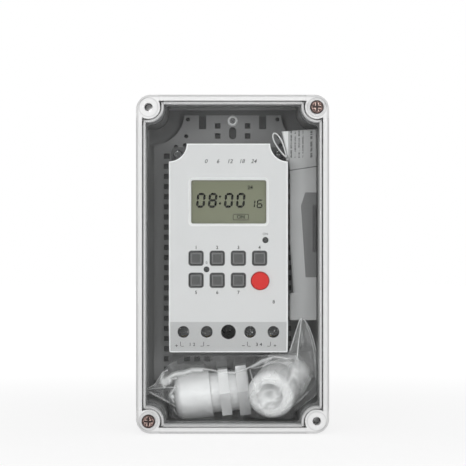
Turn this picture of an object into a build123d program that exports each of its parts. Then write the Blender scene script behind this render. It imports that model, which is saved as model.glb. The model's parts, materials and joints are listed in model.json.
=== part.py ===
from build123d import *
import os
from math import copysign, cos, radians, sin, sqrt

# A digital timer switch screwed to a perforated plate in a wall box with a clear lid.
# The folded leaflet and a bag with two cable glands lie in the box beside it.
# Millimetres. +Z is up, the wall is behind at +Y, the lid faces -Y and +X is to the right.
# The origin is the middle of the base's back face.
# A height is a distance in front of that face, so it runs along -Y.

# Clearances
touch_gap = 0.3            # loose pieces beside their seats
thread_gap = 0.05          # screws in their threads, inserts in their pockets
slide_gap = 0.4            # moving pieces beside fixed ones
cut_past = 20.0            # how far a slanted cutter runs past the surface it cuts

# Cross slots and rounded edges of the screw heads, as shares of the head's radius or height
cross_reach = 1.3
cross_breadth = 0.3
cross_sink = 0.5
head_rounding = 0.3

# Box base
box_width = 114.0
box_height = 200.0
box_corner_radius = 8.5
base_depth = 57.0
base_wall = 3.0
base_floor = 3.0
base_edge_radius = 1.2
ledge_width = 6.0          # the rim is thicker than the wall, for the gasket
ledge_depth = 6.0
outline_fillet = 2.4       # where a scooped corner meets a straight side

# Corner fixings: screws at upper right and lower left, open holes at the other two
fixing_inset = 7.3
post_radius = 9.9
wall_hole_radius = 2.25
wall_hole_neck = 3.0       # length of the narrow hole in the base
core_radius = 5.3          # wide bore behind that neck
core_shift = 1.2           # towards the middle of the box, along X and along Z
insert_radius = 3.0
insert_length = 8.0
screw_run_out = 3.0        # free bore below the insert

# Gasket
gasket_width = 2.2
gasket_depth = 2.0
gasket_side_gap = 0.1

# Lid
flange_width = 4.4
flange_height = 12.0
flange_edge_radius = 1.5
flange_plate = 3.0
window_rise = 6.0
window_thickness = 3.0
window_edge_radius = 1.4
window_wall = 2.6
notch_radius = 7.8         # scooped corner of the raised window, round each fixing
pad_size = 14.0            # lower square at each corner of the flange
pad_step = 1.0
lid_hole_radius = 2.5
seat_radius = 5.6
seat_depth = 0.6

# Lid screws
lid_screw_radius = 1.95
lid_screw_head_radius = 4.0
lid_screw_head_height = 2.4
lid_screw_reach = 9.5      # into the base below the rim

# Mounting plate
plate_width = 98.0
plate_height = 183.0
plate_thickness = 2.0
plate_notch_radius = 19.7
plate_boss_height = 4.0
plate_boss_radius = 4.0
plate_boss_x = 36.0
plate_boss_z = 60.0
plate_screw_z = 88.0
grid_pitch = 6.3
grid_hole_width = 3.7
grid_hole_height = 3.3
grid_columns = 14
grid_rows = 22
plate_slot_x = 18.7
plate_slot_width = 4.5
plate_slot_length = 8.6
centre_slot_z = 80.4
centre_slot_length = 7.6
plate_square = 3.5
plate_square_x = 9.3
plate_square_z = (85.0, 78.7)
plate_round_radius = 1.3
plate_rounds = ((27.8, 89.0), (28.8, 78.5), (29.7, 73.0), (35.2, 72.0))
plate_solid_margin = 4.2   # no grid hole nearer to a timer screw than this

# Small screws: plate, timer ears, housing and boards
small_screw_radius = 1.45
small_head_radius = 2.8
small_head_height = 2.0
plate_screw_length = 4.6
ear_screw_length = 3.6
board_screw_radius = 1.0
board_screw_head_radius = 1.9
board_screw_head_height = 1.4
board_screw_length = 5.5

# Timer casing
timer_x = -2.5
timer_z = 9.3
timer_width = 70.8
timer_height = 124.5
timer_depth = 52.0
timer_notch_radius = 10.6
timer_corner_radius = 1.0
timer_edge_radius = 0.5
ear_corner_radius = 3.0
ear_thickness = 3.0
ear_inset_x = 4.0
ear_inset_z = 4.6
ear_hole_radius = 1.7
rear_depth = 21.0          # rear housing, up to the parting line
casing_wall = 2.0
slope_length = 18.5        # sloping terminal end of the front cover
slope_drop = 8.0
well_radius = 4.35         # deep hole to the lower mounting screw
well_wall = 1.25
terminal_offset_z = 12.6   # above the lower end

# Screws that join the two casing halves
joint_screw_x = 31.0
joint_screw_z = (46.0, -36.0)
joint_boss_radius = 3.2
joint_boss_height = 15.0
joint_screw_head_radius = 2.4
joint_screw_head_height = 1.6
joint_screw_recess = 1.9
joint_screw_reach = 9.0    # past the parting line

# Display
lcd_width = 44.6
lcd_height = 25.7
lcd_x = 0.2
lcd_z = 27.6
lcd_bevel = 1.3
lcd_corner_radius = 1.2
pane_lip = 1.2             # how far the pane and the panel reach past the opening
pane_thickness = 1.0
panel_thickness = 2.0
panel_gap = 0.2
strip_width = 2.0
strip_margin = 3.0

# Boards
board_thickness = 1.6
display_board_drop = 7.4   # below the inside of the cover's face
display_board_width = 62.0
display_board_top = 49.5
display_board_bottom = -31.0
board_boss_radius = 2.2
board_boss_x = 28.5
board_boss_z = (46.5, -28.0)
power_board_width = 61.0
power_board_top = 48.0
power_board_bottom = -43.0
power_board_rise = 3.0     # above the housing's floor
power_boss_radius = 2.2
power_boss_x = 25.0
power_boss_z = (40.0, -30.0)

# Keys and buttons
key_first_x = -19.2
key_pitch = 12.57
key_row_z = (-5.9, -19.0)
key_row_counts = (4, 3)
key_opening = 8.4
key_opening_radius = 1.5
key_rise = 1.2             # above the cover's face
key_edge_radius = 0.6
key_flange_lip = 0.7
key_flange_thickness = 1.4
key_travel = 1.0
manual_x = 18.8
manual_z = -19.3
manual_opening_radius = 5.6
manual_rise = 2.0
manual_travel = 1.2
reset_x = -13.0
reset_z = -12.5
reset_opening_radius = 1.75
reset_sink = 0.8           # below the cover's face
reset_travel = 0.8
reset_flange_lip = 0.5
reset_side_gap = 0.3
indicator_x = 22.0
indicator_z = 4.9
indicator_radius = 1.75
indicator_gap = 0.1
indicator_rise = 0.3
mat_thickness = 1.2
mat_dome_radius = 3.0
mat_margin = 4.0
mat_dome_gap = 0.3         # left under a key that is pressed right down
mat_dome_taper = 15.0

# Terminals, one pole each side of the well and one near each side of the timer
terminal_x = (-26.75, -12.9, 12.9, 26.75)
terminal_hole_radius = 3.475
terminal_tube_wall = 1.2
terminal_screw_radius = 1.95
terminal_head_radius = 3.05
terminal_head_height = 2.0
terminal_head_top = 39.0   # above the timer's back
bar_width = 5.6
bar_thickness = 1.5
bar_foot_thickness = 1.5
bar_end_gap = 1.6          # from the block to the bar's foot
tip_gap = 0.1
cage_wall = 1.0
cage_width = 8.4
cage_length = 6.0
cage_wire_gap = 5.2
cage_travel = 3.5
cage_head_gap = 0.5
block_width = 66.0
block_length = 16.0
block_inset = 2.2          # from the timer's lower end
block_floor = 1.0
pocket_length = 10.0
entry_width = 5.6
shelf_width = 4.0

# Parts on the power board
relay_size = (15.5, 28.0, 19.5)
relay_place = (-16.0, 22.0)
dropper_size = (10.0, 26.0, 18.0)
dropper_place = (4.0, 24.0)
reservoir_radius = 5.0
reservoir_height = 12.0
reservoir_place = (19.0, 30.0)
battery_radius = 7.8
battery_height = 11.0
battery_place = (18.0, 4.0)
lead_radius = 0.4
header_pins = 8
header_pitch = 2.54
header_pin_side = 0.64
header_body = 2.5
header_place = (-10.0, -16.0)
part_corner_radius = 1.0
part_edge = 0.5

# Leaflet
leaflet_height = 44.0      # its back, in front of the wall
leaflet_thickness = 5.0
leaflet_bottom = -34.0
leaflet_crease = 57.0
leaflet_top = 80.0
leaflet_flare = 7.6        # how far the top fans out to the left
leaflet_lean = 1.2
leaflet_side_gap = 1.2     # from the timer's side

# Cable glands, measured along their axis from the dome nut's mouth
dome_radius = 14.5
dome_length = 22.0
dome_round = 5.0
dome_mouth_radius = 8.0
dome_lip = 4.0
gland_bore_radius = 9.0
gland_thread_radius = 12.4
gland_thread_groove = 0.5
gland_thread_pitch = 1.5
gland_hex_start = 27.5
gland_hex_width = 28.0
gland_hex_thickness = 6.0
gland_end = 45.5
gland_seat = 13.0
gland_nut_start = 38.3
gland_nut_width = 30.0
gland_nut_thickness = 6.6
gland_thread_clear = 0.2
seal_radius = 11.8
seal_bore_radius = 7.0

# Where the glands lie
glands_apart = 57.0        # from one dome nut's mouth to the other's, across
gland_a_tilt = 6.5
gland_b_side_inset = 35.0  # its mouth, in from the box's right side
gland_b_mouth_height = 60.0
gland_b_yaw = 14.2         # turned to the right, going back from the dome nut
gland_b_rise = 11.6

# Bag round the glands
film = 0.4
bag_shallow_height = 47.4
bag_deep_height = 65.4
bag_side_gap = 0.6
bag_step_inset = 6.0       # left of gland B's mouth: the shallow lobe ends there
bag_lobe_overlap = 9.5
bag_tip_rise = 20.1        # the left tip above the box's floor
bag_shallow_top = ((-7.0, 32.2), (9.0, 34.3), (35.0, 36.5))    # across from gland A's mouth, above the floor
bag_shallow_foot = ((-1.6, 0.0), (-3.5, 12.2))
bag_step_drop = 7.25       # below the timer's lower end
bag_ear_foot = (1.9, 3.55)                                     # from the timer's lower right corner
bag_ear = ((10.0, 18.05), (4.1, 15.95), (0.0, 0.55))           # in from the right wall, above that corner
bag_deep_foot = ((0.0, 15.1), (13.8, 4.2), (14.7, 0.0))        # in from the right wall, above the ledge

# Places and heights worked out from the sizes above
fixing_x = box_width / 2 - fixing_inset
fixing_z = box_height / 2 - fixing_inset
fixings = [(x, z) for x in (-fixing_x, fixing_x) for z in (-fixing_z, fixing_z)]
open_fixings = [(-fixing_x, fixing_z), (fixing_x, -fixing_z)]
screw_fixings = [(fixing_x, fixing_z), (-fixing_x, -fixing_z)]
core_places = [(x - copysign(core_shift, x), z - copysign(core_shift, z)) for x, z in open_fixings]
ledge_start = base_depth - ledge_depth
flange_top = base_depth + flange_height
flange_under = flange_top - flange_plate
pad_top = flange_top - pad_step
seat_height = pad_top - seat_depth
lid_front = flange_top + window_rise
window_under = lid_front - window_thickness
plate_back = base_floor + plate_boss_height
plate_front = plate_back + plate_thickness
timer_back = plate_front
timer_front = timer_back + timer_depth
timer_floor = timer_back + ear_thickness
parting = timer_back + rear_depth
face_under = timer_front - casing_wall
timer_bottom = -timer_height / 2
ear_x = timer_width / 2 - ear_inset_x
ear_z = timer_height / 2 - ear_inset_z
terminal_z = timer_bottom + terminal_offset_z


def front(height):
    """Plane parallel to the wall at a height, facing the viewer."""
    return Plane.XZ.offset(height)


def timer_plane(height):
    """The same, centred on the timer."""
    return Plane(origin=(timer_x, -height, timer_z), x_dir=(1, 0, 0), z_dir=(0, -1, 0))


def scooped(inset, notch, rounding=outline_fillet):
    """Rectangle inside the box's outline whose corners are scooped out round the fixings."""
    with BuildSketch() as outline:
        Rectangle(box_width - 2 * inset, box_height - 2 * inset)
        with Locations(*fixings):
            Circle(notch, mode=Mode.SUBTRACT)
        fillet(outline.vertices(), rounding)
    return outline.sketch


def seal_ring(near, far):
    """Ring round the raised window's outline, between two distances outside it."""
    outline = scooped(flange_width, notch_radius)
    with BuildSketch() as ring:
        offset(outline, amount=far, mode=Mode.ADD)
        if near:
            offset(outline, amount=near, mode=Mode.SUBTRACT)
        else:
            add(outline, mode=Mode.SUBTRACT)
    return ring.sketch


def timer_outline(inset):
    """Timer casing's outline, scooped at its two upper corners, inside a wall of this thickness."""
    with BuildSketch() as outline:
        Rectangle(timer_width - 2 * inset, timer_height - 2 * inset)
        fillet(outline.vertices().group_by(Axis.Y)[0], timer_corner_radius)
        with Locations(*[(side * timer_width / 2, timer_height / 2) for side in (-1, 1)]):
            Circle(timer_notch_radius + inset, mode=Mode.SUBTRACT)
    return outline.sketch


def slope_wedge(depth):
    """What the sloping terminal end takes off the cover, this far below its outer faces."""
    steep = slope_drop / slope_length
    shift = depth * (sqrt(1 + steep**2) - steep)
    top = timer_z + timer_bottom + slope_length + shift
    level = -(timer_front - depth)
    far = slope_length + cut_past
    with BuildPart() as wedge:
        with BuildSketch(Plane.YZ.offset(timer_x - timer_width)):
            Polygon(
                (level - cut_past, top),
                (level, top),
                (level + far * steep, top - far),
                (level - cut_past, top - far),
                align=None,
            )
        extrude(amount=2 * timer_width)
    return wedge.part


def cross_slot(head):
    """Cross slot for a screw head of this radius."""
    with BuildSketch() as slot:
        Rectangle(cross_reach * head, cross_breadth * head)
        Rectangle(cross_breadth * head, cross_reach * head)
    return slot.sketch


def screw(height, place, shank, length, head, head_height):
    """Cross-headed screw driven towards the wall, its head's seat at this height."""
    with BuildPart() as piece:
        with BuildSketch(front(height)):
            with Locations(place):
                Circle(head)
        extrude(amount=head_height)
        fillet(piece.faces().sort_by(Axis.Y)[0].edges(), head_rounding * head_height)
        with BuildSketch(front(height)):
            with Locations(place):
                Circle(shank)
        extrude(amount=-length)
        with BuildSketch(front(height + head_height)):
            with Locations(place):
                add(cross_slot(head))
        extrude(amount=-cross_sink * head_height, mode=Mode.SUBTRACT)
    return piece.part


os.makedirs("parts", exist_ok=True)

# Box base, with hollow corner posts and a thick rim
with BuildPart() as enclosure_base:
    with BuildSketch(front(0)):
        RectangleRounded(box_width, box_height, box_corner_radius)
    extrude(amount=base_depth)
    fillet(enclosure_base.faces().sort_by(Axis.Y)[-1].edges(), base_edge_radius)
    with BuildSketch(front(base_floor)):
        add(scooped(base_wall, post_radius))
    extrude(amount=ledge_start - base_floor, mode=Mode.SUBTRACT)
    with BuildSketch(front(ledge_start)):
        add(scooped(ledge_width, post_radius))
    extrude(amount=ledge_depth, mode=Mode.SUBTRACT)
    with BuildSketch(front(base_depth)):
        add(seal_ring(0, gasket_width))
    extrude(amount=-gasket_depth, mode=Mode.SUBTRACT)
    with BuildSketch(front(base_floor)):
        with Locations((0, plate_screw_z), (0, -plate_screw_z)):
            Circle(plate_boss_radius)
        with GridLocations(2 * plate_boss_x, 2 * plate_boss_z, 2, 2):
            Circle(plate_boss_radius)
    extrude(amount=plate_boss_height)
    with BuildSketch(front(plate_back)):
        with Locations((0, plate_screw_z), (0, -plate_screw_z)):
            Circle(small_screw_radius + thread_gap)
    extrude(amount=-(plate_screw_length - plate_thickness + slide_gap), mode=Mode.SUBTRACT)
    with BuildSketch(front(base_depth)):
        with Locations(*screw_fixings):
            Circle(insert_radius + thread_gap)
    extrude(amount=-insert_length, mode=Mode.SUBTRACT)
    with BuildSketch(front(base_depth - insert_length)):
        with Locations(*screw_fixings):
            Circle(lid_screw_radius + slide_gap)
    extrude(amount=-(lid_screw_reach - insert_length + screw_run_out), mode=Mode.SUBTRACT)
    with BuildSketch(front(base_depth)):
        with Locations(*open_fixings):
            Circle(wall_hole_radius)
    extrude(amount=-base_depth, mode=Mode.SUBTRACT)
    with BuildSketch(front(0)):
        with Locations(*core_places):
            Circle(core_radius)
    extrude(amount=base_depth - wall_hole_neck, mode=Mode.SUBTRACT)
enclosure_base.part.label = "enclosure_base"
export_step(enclosure_base.part, "parts/enclosure_base.step")

# Gasket in the rim's groove
with BuildPart() as lid_gasket:
    with BuildSketch(front(base_depth - gasket_depth)):
        add(seal_ring(gasket_side_gap, gasket_width - gasket_side_gap))
    extrude(amount=gasket_depth)
lid_gasket.part.label = "lid_gasket"
export_step(lid_gasket.part, "parts/lid_gasket.step")

# Threaded inserts for the lid screws
with BuildPart() as screw_inserts:
    with BuildSketch(front(base_depth - insert_length)):
        with Locations(*screw_fixings):
            Circle(insert_radius)
            Circle(lid_screw_radius + thread_gap, mode=Mode.SUBTRACT)
    extrude(amount=insert_length)
screw_inserts.part.label = "screw_inserts"
export_step(screw_inserts.part, "parts/screw_inserts.step")

# Clear lid: a flange with lower corner pads round a raised, scooped window
with BuildPart() as clear_lid:
    with BuildSketch(front(base_depth)):
        RectangleRounded(box_width, box_height, box_corner_radius)
    extrude(amount=flange_height)
    fillet(clear_lid.faces().sort_by(Axis.Y)[0].edges(), flange_edge_radius)
    with BuildSketch(front(flange_top)):
        with GridLocations(box_width - pad_size, box_height - pad_size, 2, 2):
            Rectangle(pad_size, pad_size)
    extrude(amount=-pad_step, mode=Mode.SUBTRACT)
    with BuildSketch(front(flange_under)):
        add(scooped(flange_width, notch_radius))
    extrude(amount=flange_plate + window_rise)
    fillet(clear_lid.faces().sort_by(Axis.Y)[0].edges(), window_edge_radius)
    with BuildSketch(front(base_depth)):
        add(scooped(flange_width, notch_radius))
    extrude(amount=flange_height - flange_plate, mode=Mode.SUBTRACT)
    with BuildSketch(front(flange_under)):
        add(scooped(flange_width + window_wall, notch_radius + window_wall))
    extrude(amount=window_under - flange_under, mode=Mode.SUBTRACT)
    with BuildSketch(front(pad_top)):
        with Locations(*fixings):
            Circle(seat_radius)
    extrude(amount=-seat_depth, mode=Mode.SUBTRACT)
    with BuildSketch(front(seat_height)):
        with Locations(*fixings):
            Circle(lid_hole_radius)
    extrude(amount=-(seat_height - base_depth), mode=Mode.SUBTRACT)
clear_lid.part.label = "clear_lid"
export_step(clear_lid.part, "parts/clear_lid.step")

# Lid screws
for name, place in zip(("lid_screw_upper_right", "lid_screw_lower_left"), screw_fixings):
    length = seat_height - base_depth + lid_screw_reach
    lid_screw = screw(
        seat_height, place, lid_screw_radius, length, lid_screw_head_radius, lid_screw_head_height
    )
    lid_screw.label = name
    export_step(lid_screw, f"parts/{name}.step")

# Perforated mounting plate
grid_x = [(column - (grid_columns - 1) / 2) * grid_pitch for column in range(grid_columns)]
grid_z = [(row - (grid_rows - 1) / 2) * grid_pitch for row in range(grid_rows)]
ear_places = [(timer_x + side * ear_x, timer_z + ear_z) for side in (-1, 1)]
well_place = (timer_x, timer_z + terminal_z)
timer_screw_places = ear_places + [well_place]
grid_places = [
    (x, z) for x in grid_x for z in grid_z
    if all(max(abs(x - screw_x), abs(z - screw_z)) > plate_solid_margin for screw_x, screw_z
           in timer_screw_places)
]
with BuildPart() as mounting_plate:
    with BuildSketch(front(plate_back)):
        Rectangle(plate_width, plate_height)
        with Locations(*fixings):
            Circle(plate_notch_radius, mode=Mode.SUBTRACT)
        with Locations(*grid_places):
            Rectangle(grid_hole_width, grid_hole_height, mode=Mode.SUBTRACT)
        for end in (-1, 1):
            with Locations((0, end * plate_screw_z)):
                Circle(small_screw_radius + thread_gap, mode=Mode.SUBTRACT)
            slot_z = end * (plate_height / 2 - plate_slot_length / 2)
            with Locations((-plate_slot_x, slot_z), (plate_slot_x, slot_z)):
                Rectangle(plate_slot_width, plate_slot_length, mode=Mode.SUBTRACT)
            with Locations((0, end * centre_slot_z)):
                SlotOverall(centre_slot_length, plate_slot_width, rotation=90, mode=Mode.SUBTRACT)
            with Locations(*[(side * plate_square_x, end * z) for side in (-1, 1) for z in plate_square_z]):
                Rectangle(plate_square, plate_square, mode=Mode.SUBTRACT)
            with Locations(*[(side * x, end * z) for side in (-1, 1) for x, z in plate_rounds]):
                Circle(plate_round_radius, mode=Mode.SUBTRACT)
        with Locations(*timer_screw_places):
            Circle(small_screw_radius + thread_gap, mode=Mode.SUBTRACT)
    extrude(amount=plate_thickness)
mounting_plate.part.label = "mounting_plate"
export_step(mounting_plate.part, "parts/mounting_plate.step")

# Screws that hold the plate on its bosses
plate_screws = Compound(children=[
    screw(plate_front, (0, end * plate_screw_z), small_screw_radius, plate_screw_length,
          small_head_radius, small_head_height)
    for end in (-1, 1)
])
plate_screws.label = "plate_screws"
export_step(plate_screws, "parts/plate_screws.step")

# Timer's rear housing: a flat back with two ears, walls, a well and a shelf for the terminal block
joint_places = [(side * joint_screw_x, z) for side in (-1, 1) for z in joint_screw_z]
ear_holes = [(side * ear_x, ear_z) for side in (-1, 1)]
power_bosses = [(side * power_boss_x, z) for side in (-1, 1) for z in power_boss_z]
head_top = timer_back + terminal_head_top
head_under = head_top - terminal_head_height
cage_top = head_under - cage_head_gap - cage_travel
bar_top = cage_top - cage_wall - touch_gap
bar_under = bar_top - bar_thickness
cage_bottom = bar_under - cage_wire_gap - cage_wall
block_bottom = cage_bottom - cage_head_gap - block_floor
block_top = head_under - cage_head_gap
block_z = timer_bottom + block_inset + block_length / 2
block_end = timer_bottom + block_inset + block_length
shelf_x = [(near + far) / 2 for near, far in zip(terminal_x[::2], terminal_x[1::2])]
with BuildPart() as timer_rear_housing:
    with BuildSketch(timer_plane(timer_back)):
        Rectangle(timer_width, timer_height)
    extrude(amount=ear_thickness)
    fillet(timer_rear_housing.edges().filter_by(Axis.Y).group_by(Axis.Z)[-1], ear_corner_radius)
    fillet(timer_rear_housing.edges().filter_by(Axis.Y).group_by(Axis.Z)[0], timer_corner_radius)
    with BuildSketch(timer_plane(timer_floor)):
        add(timer_outline(0))
        add(timer_outline(casing_wall), mode=Mode.SUBTRACT)
    extrude(amount=parting - timer_floor)
    with BuildSketch(timer_plane(timer_floor)):
        with Locations((0, terminal_z)):
            Circle(well_radius + well_wall)
        with Locations(*joint_places):
            Circle(joint_boss_radius)
    extrude(amount=parting - timer_floor)
    with BuildSketch(timer_plane(timer_floor)):
        with Locations(*power_bosses):
            Circle(power_boss_radius)
    extrude(amount=power_board_rise)
    with BuildSketch(timer_plane(timer_floor)):
        with Locations(*[(x, block_z) for x in shelf_x]):
            Rectangle(shelf_width, block_length)
    extrude(amount=block_bottom - timer_floor)
    with BuildSketch(timer_plane(timer_floor)):
        with Locations((0, terminal_z)):
            Circle(well_radius)
    extrude(amount=parting - timer_floor, mode=Mode.SUBTRACT)
    with BuildSketch(timer_plane(timer_back)):
        with Locations(*ear_holes, (0, terminal_z)):
            Circle(ear_hole_radius)
    extrude(amount=ear_thickness, mode=Mode.SUBTRACT)
    with BuildSketch(timer_plane(timer_back)):
        with Locations(*joint_places):
            Circle(small_screw_radius + 2 * thread_gap)
    extrude(amount=rear_depth, mode=Mode.SUBTRACT)
    with BuildSketch(timer_plane(timer_back)):
        with Locations(*joint_places):
            Circle(joint_screw_head_radius + touch_gap)
    extrude(amount=joint_screw_recess, mode=Mode.SUBTRACT)
timer_rear_housing.part.label = "timer_rear_housing"
export_step(timer_rear_housing.part, "parts/timer_rear_housing.step")

# Timer's front cover: sloping terminal end, openings for display, keys, lamp and screwdriver
key_places = [
    (key_first_x + column * key_pitch, row_z)
    for row_z, count in zip(key_row_z, key_row_counts)
    for column in range(count)
]
board_bosses = [(side * board_boss_x, z) for side in (-1, 1) for z in board_boss_z]
terminal_places = [(x, terminal_z) for x in terminal_x]
display_board_front = face_under - display_board_drop
bevel_width = lcd_width + 2 * lcd_bevel
bevel_height = lcd_height + 2 * lcd_bevel
with BuildPart() as cover_hollow:
    with BuildSketch(timer_plane(parting)):
        add(timer_outline(casing_wall))
    extrude(amount=face_under - parting)
    add(slope_wedge(casing_wall), mode=Mode.SUBTRACT)
with BuildPart() as timer_front_cover:
    with BuildSketch(timer_plane(parting)):
        add(timer_outline(0))
    extrude(amount=timer_front - parting)
    fillet(timer_front_cover.faces().sort_by(Axis.Y)[0].edges(), timer_edge_radius)
    add(cover_hollow.part, mode=Mode.SUBTRACT)
    with BuildSketch(timer_plane(head_under)):
        with Locations(*terminal_places):
            Circle(terminal_hole_radius + terminal_tube_wall)
    extrude(amount=face_under - head_under)
    with BuildSketch(timer_plane(parting)):
        with Locations((0, terminal_z)):
            Circle(well_radius + well_wall)
    extrude(amount=face_under - parting)
    with BuildSketch(timer_plane(parting)):
        with Locations(*joint_places):
            Circle(joint_boss_radius)
    extrude(amount=joint_boss_height)
    with BuildSketch(timer_plane(display_board_front)):
        with Locations(*board_bosses):
            Circle(board_boss_radius)
    extrude(amount=display_board_drop)
    add(slope_wedge(0), mode=Mode.SUBTRACT)
    with BuildSketch(timer_plane(timer_front)):
        with Locations(*terminal_places):
            Circle(terminal_hole_radius)
    extrude(amount=-(timer_front - head_under), mode=Mode.SUBTRACT)
    with BuildSketch(timer_plane(timer_front)):
        with Locations((0, terminal_z)):
            Circle(well_radius)
    extrude(amount=-(timer_front - parting), mode=Mode.SUBTRACT)
    with BuildSketch(timer_plane(parting)):
        with Locations(*joint_places):
            Circle(small_screw_radius + thread_gap)
    extrude(amount=joint_screw_reach + touch_gap, mode=Mode.SUBTRACT)
    with BuildSketch(timer_plane(display_board_front)):
        with Locations(*board_bosses):
            Circle(board_screw_radius + thread_gap)
    extrude(amount=board_screw_length - board_thickness + touch_gap, mode=Mode.SUBTRACT)
    with BuildSketch(timer_plane(timer_front)):
        with Locations((lcd_x, lcd_z)):
            RectangleRounded(lcd_width, lcd_height, lcd_corner_radius)
        with Locations(*key_places):
            RectangleRounded(key_opening, key_opening, key_opening_radius)
        with Locations((manual_x, manual_z)):
            Circle(manual_opening_radius)
        with Locations((reset_x, reset_z)):
            Circle(reset_opening_radius)
        with Locations((indicator_x, indicator_z)):
            Circle(indicator_radius + indicator_gap)
    extrude(amount=-casing_wall, mode=Mode.SUBTRACT)
    with BuildSketch(timer_plane(timer_front)):
        with Locations((lcd_x, lcd_z)):
            RectangleRounded(bevel_width, bevel_height, lcd_corner_radius + lcd_bevel)
    with BuildSketch(timer_plane(timer_front - lcd_bevel)):
        with Locations((lcd_x, lcd_z)):
            RectangleRounded(lcd_width, lcd_height, lcd_corner_radius)
    loft(mode=Mode.SUBTRACT)
    with BuildSketch(Plane.XY.offset(timer_z + timer_bottom)):
        with Locations(*[(timer_x + x, -(bar_under - cage_wire_gap / 2)) for x in terminal_x]):
            Rectangle(entry_width + 2 * touch_gap, cage_wire_gap + 2 * touch_gap)
    extrude(amount=casing_wall, mode=Mode.SUBTRACT)
timer_front_cover.part.label = "timer_front_cover"
export_step(timer_front_cover.part, "parts/timer_front_cover.step")

# Screws through the ears and down the well, into the mounting plate
timer_mounting_screws = Compound(children=[
    screw(timer_floor, place, small_screw_radius, ear_thickness + ear_screw_length,
          small_head_radius, small_head_height)
    for place in timer_screw_places
])
timer_mounting_screws.label = "timer_mounting_screws"
export_step(timer_mounting_screws, "parts/timer_mounting_screws.step")

# Screws that join the casing halves, driven from the back
with BuildPart() as housing_screws:
    with BuildSketch(timer_plane(timer_back + joint_screw_recess)):
        with Locations(*joint_places):
            Circle(joint_screw_head_radius)
    extrude(amount=-joint_screw_head_height)
    with BuildSketch(timer_plane(timer_back + joint_screw_recess)):
        with Locations(*joint_places):
            Circle(small_screw_radius)
    extrude(amount=rear_depth - joint_screw_recess + joint_screw_reach)
    with BuildSketch(timer_plane(timer_back + joint_screw_recess - joint_screw_head_height)):
        with Locations(*joint_places):
            add(cross_slot(joint_screw_head_radius))
    extrude(amount=cross_sink * joint_screw_head_height, mode=Mode.SUBTRACT)
housing_screws.part.label = "housing_screws"
export_step(housing_screws.part, "parts/housing_screws.step")

# Display: a clear pane behind the opening, the liquid crystal panel and its contact strips
pane_width = lcd_width + 2 * pane_lip
pane_height = lcd_height + 2 * pane_lip
with BuildPart() as display_window:
    with BuildSketch(timer_plane(face_under - pane_thickness)):
        with Locations((lcd_x, lcd_z)):
            RectangleRounded(pane_width, pane_height, lcd_corner_radius)
    extrude(amount=pane_thickness)
display_window.part.label = "display_window"
export_step(display_window.part, "parts/display_window.step")

panel_front = face_under - pane_thickness - panel_gap
with BuildPart() as display_panel:
    with BuildSketch(timer_plane(panel_front - panel_thickness)):
        with Locations((lcd_x, lcd_z)):
            Rectangle(pane_width, pane_height)
    extrude(amount=panel_thickness)
display_panel.part.label = "display_panel"
export_step(display_panel.part, "parts/display_panel.step")

with BuildPart() as contact_strips:
    with BuildSketch(timer_plane(display_board_front)):
        with Locations(*[(lcd_x, lcd_z + side * (pane_height - strip_width) / 2) for side in (-1, 1)]):
            Rectangle(pane_width - 2 * strip_margin, strip_width)
    extrude(amount=panel_front - panel_thickness - display_board_front)
contact_strips.part.label = "contact_strips"
export_step(contact_strips.part, "parts/contact_strips.step")

# Display board on the cover's bosses
board_middle = (display_board_top + display_board_bottom) / 2
with BuildPart() as display_board:
    with BuildSketch(timer_plane(display_board_front)):
        with Locations((0, board_middle)):
            Rectangle(display_board_width, display_board_top - display_board_bottom)
        with Locations(*board_bosses):
            Circle(board_screw_radius + 2 * thread_gap, mode=Mode.SUBTRACT)
    extrude(amount=-board_thickness)
display_board.part.label = "display_board"
export_step(display_board.part, "parts/display_board.step")

with BuildPart() as board_screws:
    with BuildSketch(timer_plane(display_board_front - board_thickness)):
        with Locations(*board_bosses):
            Circle(board_screw_head_radius)
    extrude(amount=-board_screw_head_height)
    with BuildSketch(timer_plane(display_board_front - board_thickness)):
        with Locations(*board_bosses):
            Circle(board_screw_radius)
    extrude(amount=board_screw_length)
board_screws.part.label = "board_screws"
export_step(board_screws.part, "parts/board_screws.step")

# Keys: a cap in the cover's opening with a flange behind it
flange_front = face_under - touch_gap
key_back = flange_front - key_flange_thickness
key_cap = key_opening - 2 * slide_gap
key_flange = key_opening + 2 * key_flange_lip
for number, place in enumerate(key_places, start=1):
    with BuildPart() as key:
        with BuildSketch(timer_plane(key_back)):
            with Locations(place):
                RectangleRounded(key_flange, key_flange, key_opening_radius)
        extrude(amount=key_flange_thickness)
        with BuildSketch(timer_plane(flange_front)):
            with Locations(place):
                RectangleRounded(key_cap, key_cap, key_opening_radius - slide_gap)
        extrude(amount=timer_front + key_rise - flange_front)
        chamfer(key.faces().sort_by(Axis.Y)[0].edges(), key_edge_radius)
    key.part.label = f"key_{number}"
    export_step(key.part, f"parts/key_{number}.step")

# Round manual button
with BuildPart() as manual_button:
    with BuildSketch(timer_plane(key_back)):
        with Locations((manual_x, manual_z)):
            Circle(manual_opening_radius + key_flange_lip)
    extrude(amount=key_flange_thickness)
    with BuildSketch(timer_plane(flange_front)):
        with Locations((manual_x, manual_z)):
            Circle(manual_opening_radius - slide_gap)
    extrude(amount=timer_front + manual_rise - flange_front)
    fillet(manual_button.faces().sort_by(Axis.Y)[0].edges(), key_edge_radius)
manual_button.part.label = "manual_button"
export_step(manual_button.part, "parts/manual_button.step")

# Reset button, sunk in its hole
with BuildPart() as reset_button:
    with BuildSketch(timer_plane(key_back)):
        with Locations((reset_x, reset_z)):
            Circle(reset_opening_radius + reset_flange_lip)
    extrude(amount=key_flange_thickness)
    with BuildSketch(timer_plane(flange_front)):
        with Locations((reset_x, reset_z)):
            Circle(reset_opening_radius - reset_side_gap)
    extrude(amount=timer_front - reset_sink - flange_front)
reset_button.part.label = "reset_button"
export_step(reset_button.part, "parts/reset_button.step")

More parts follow.
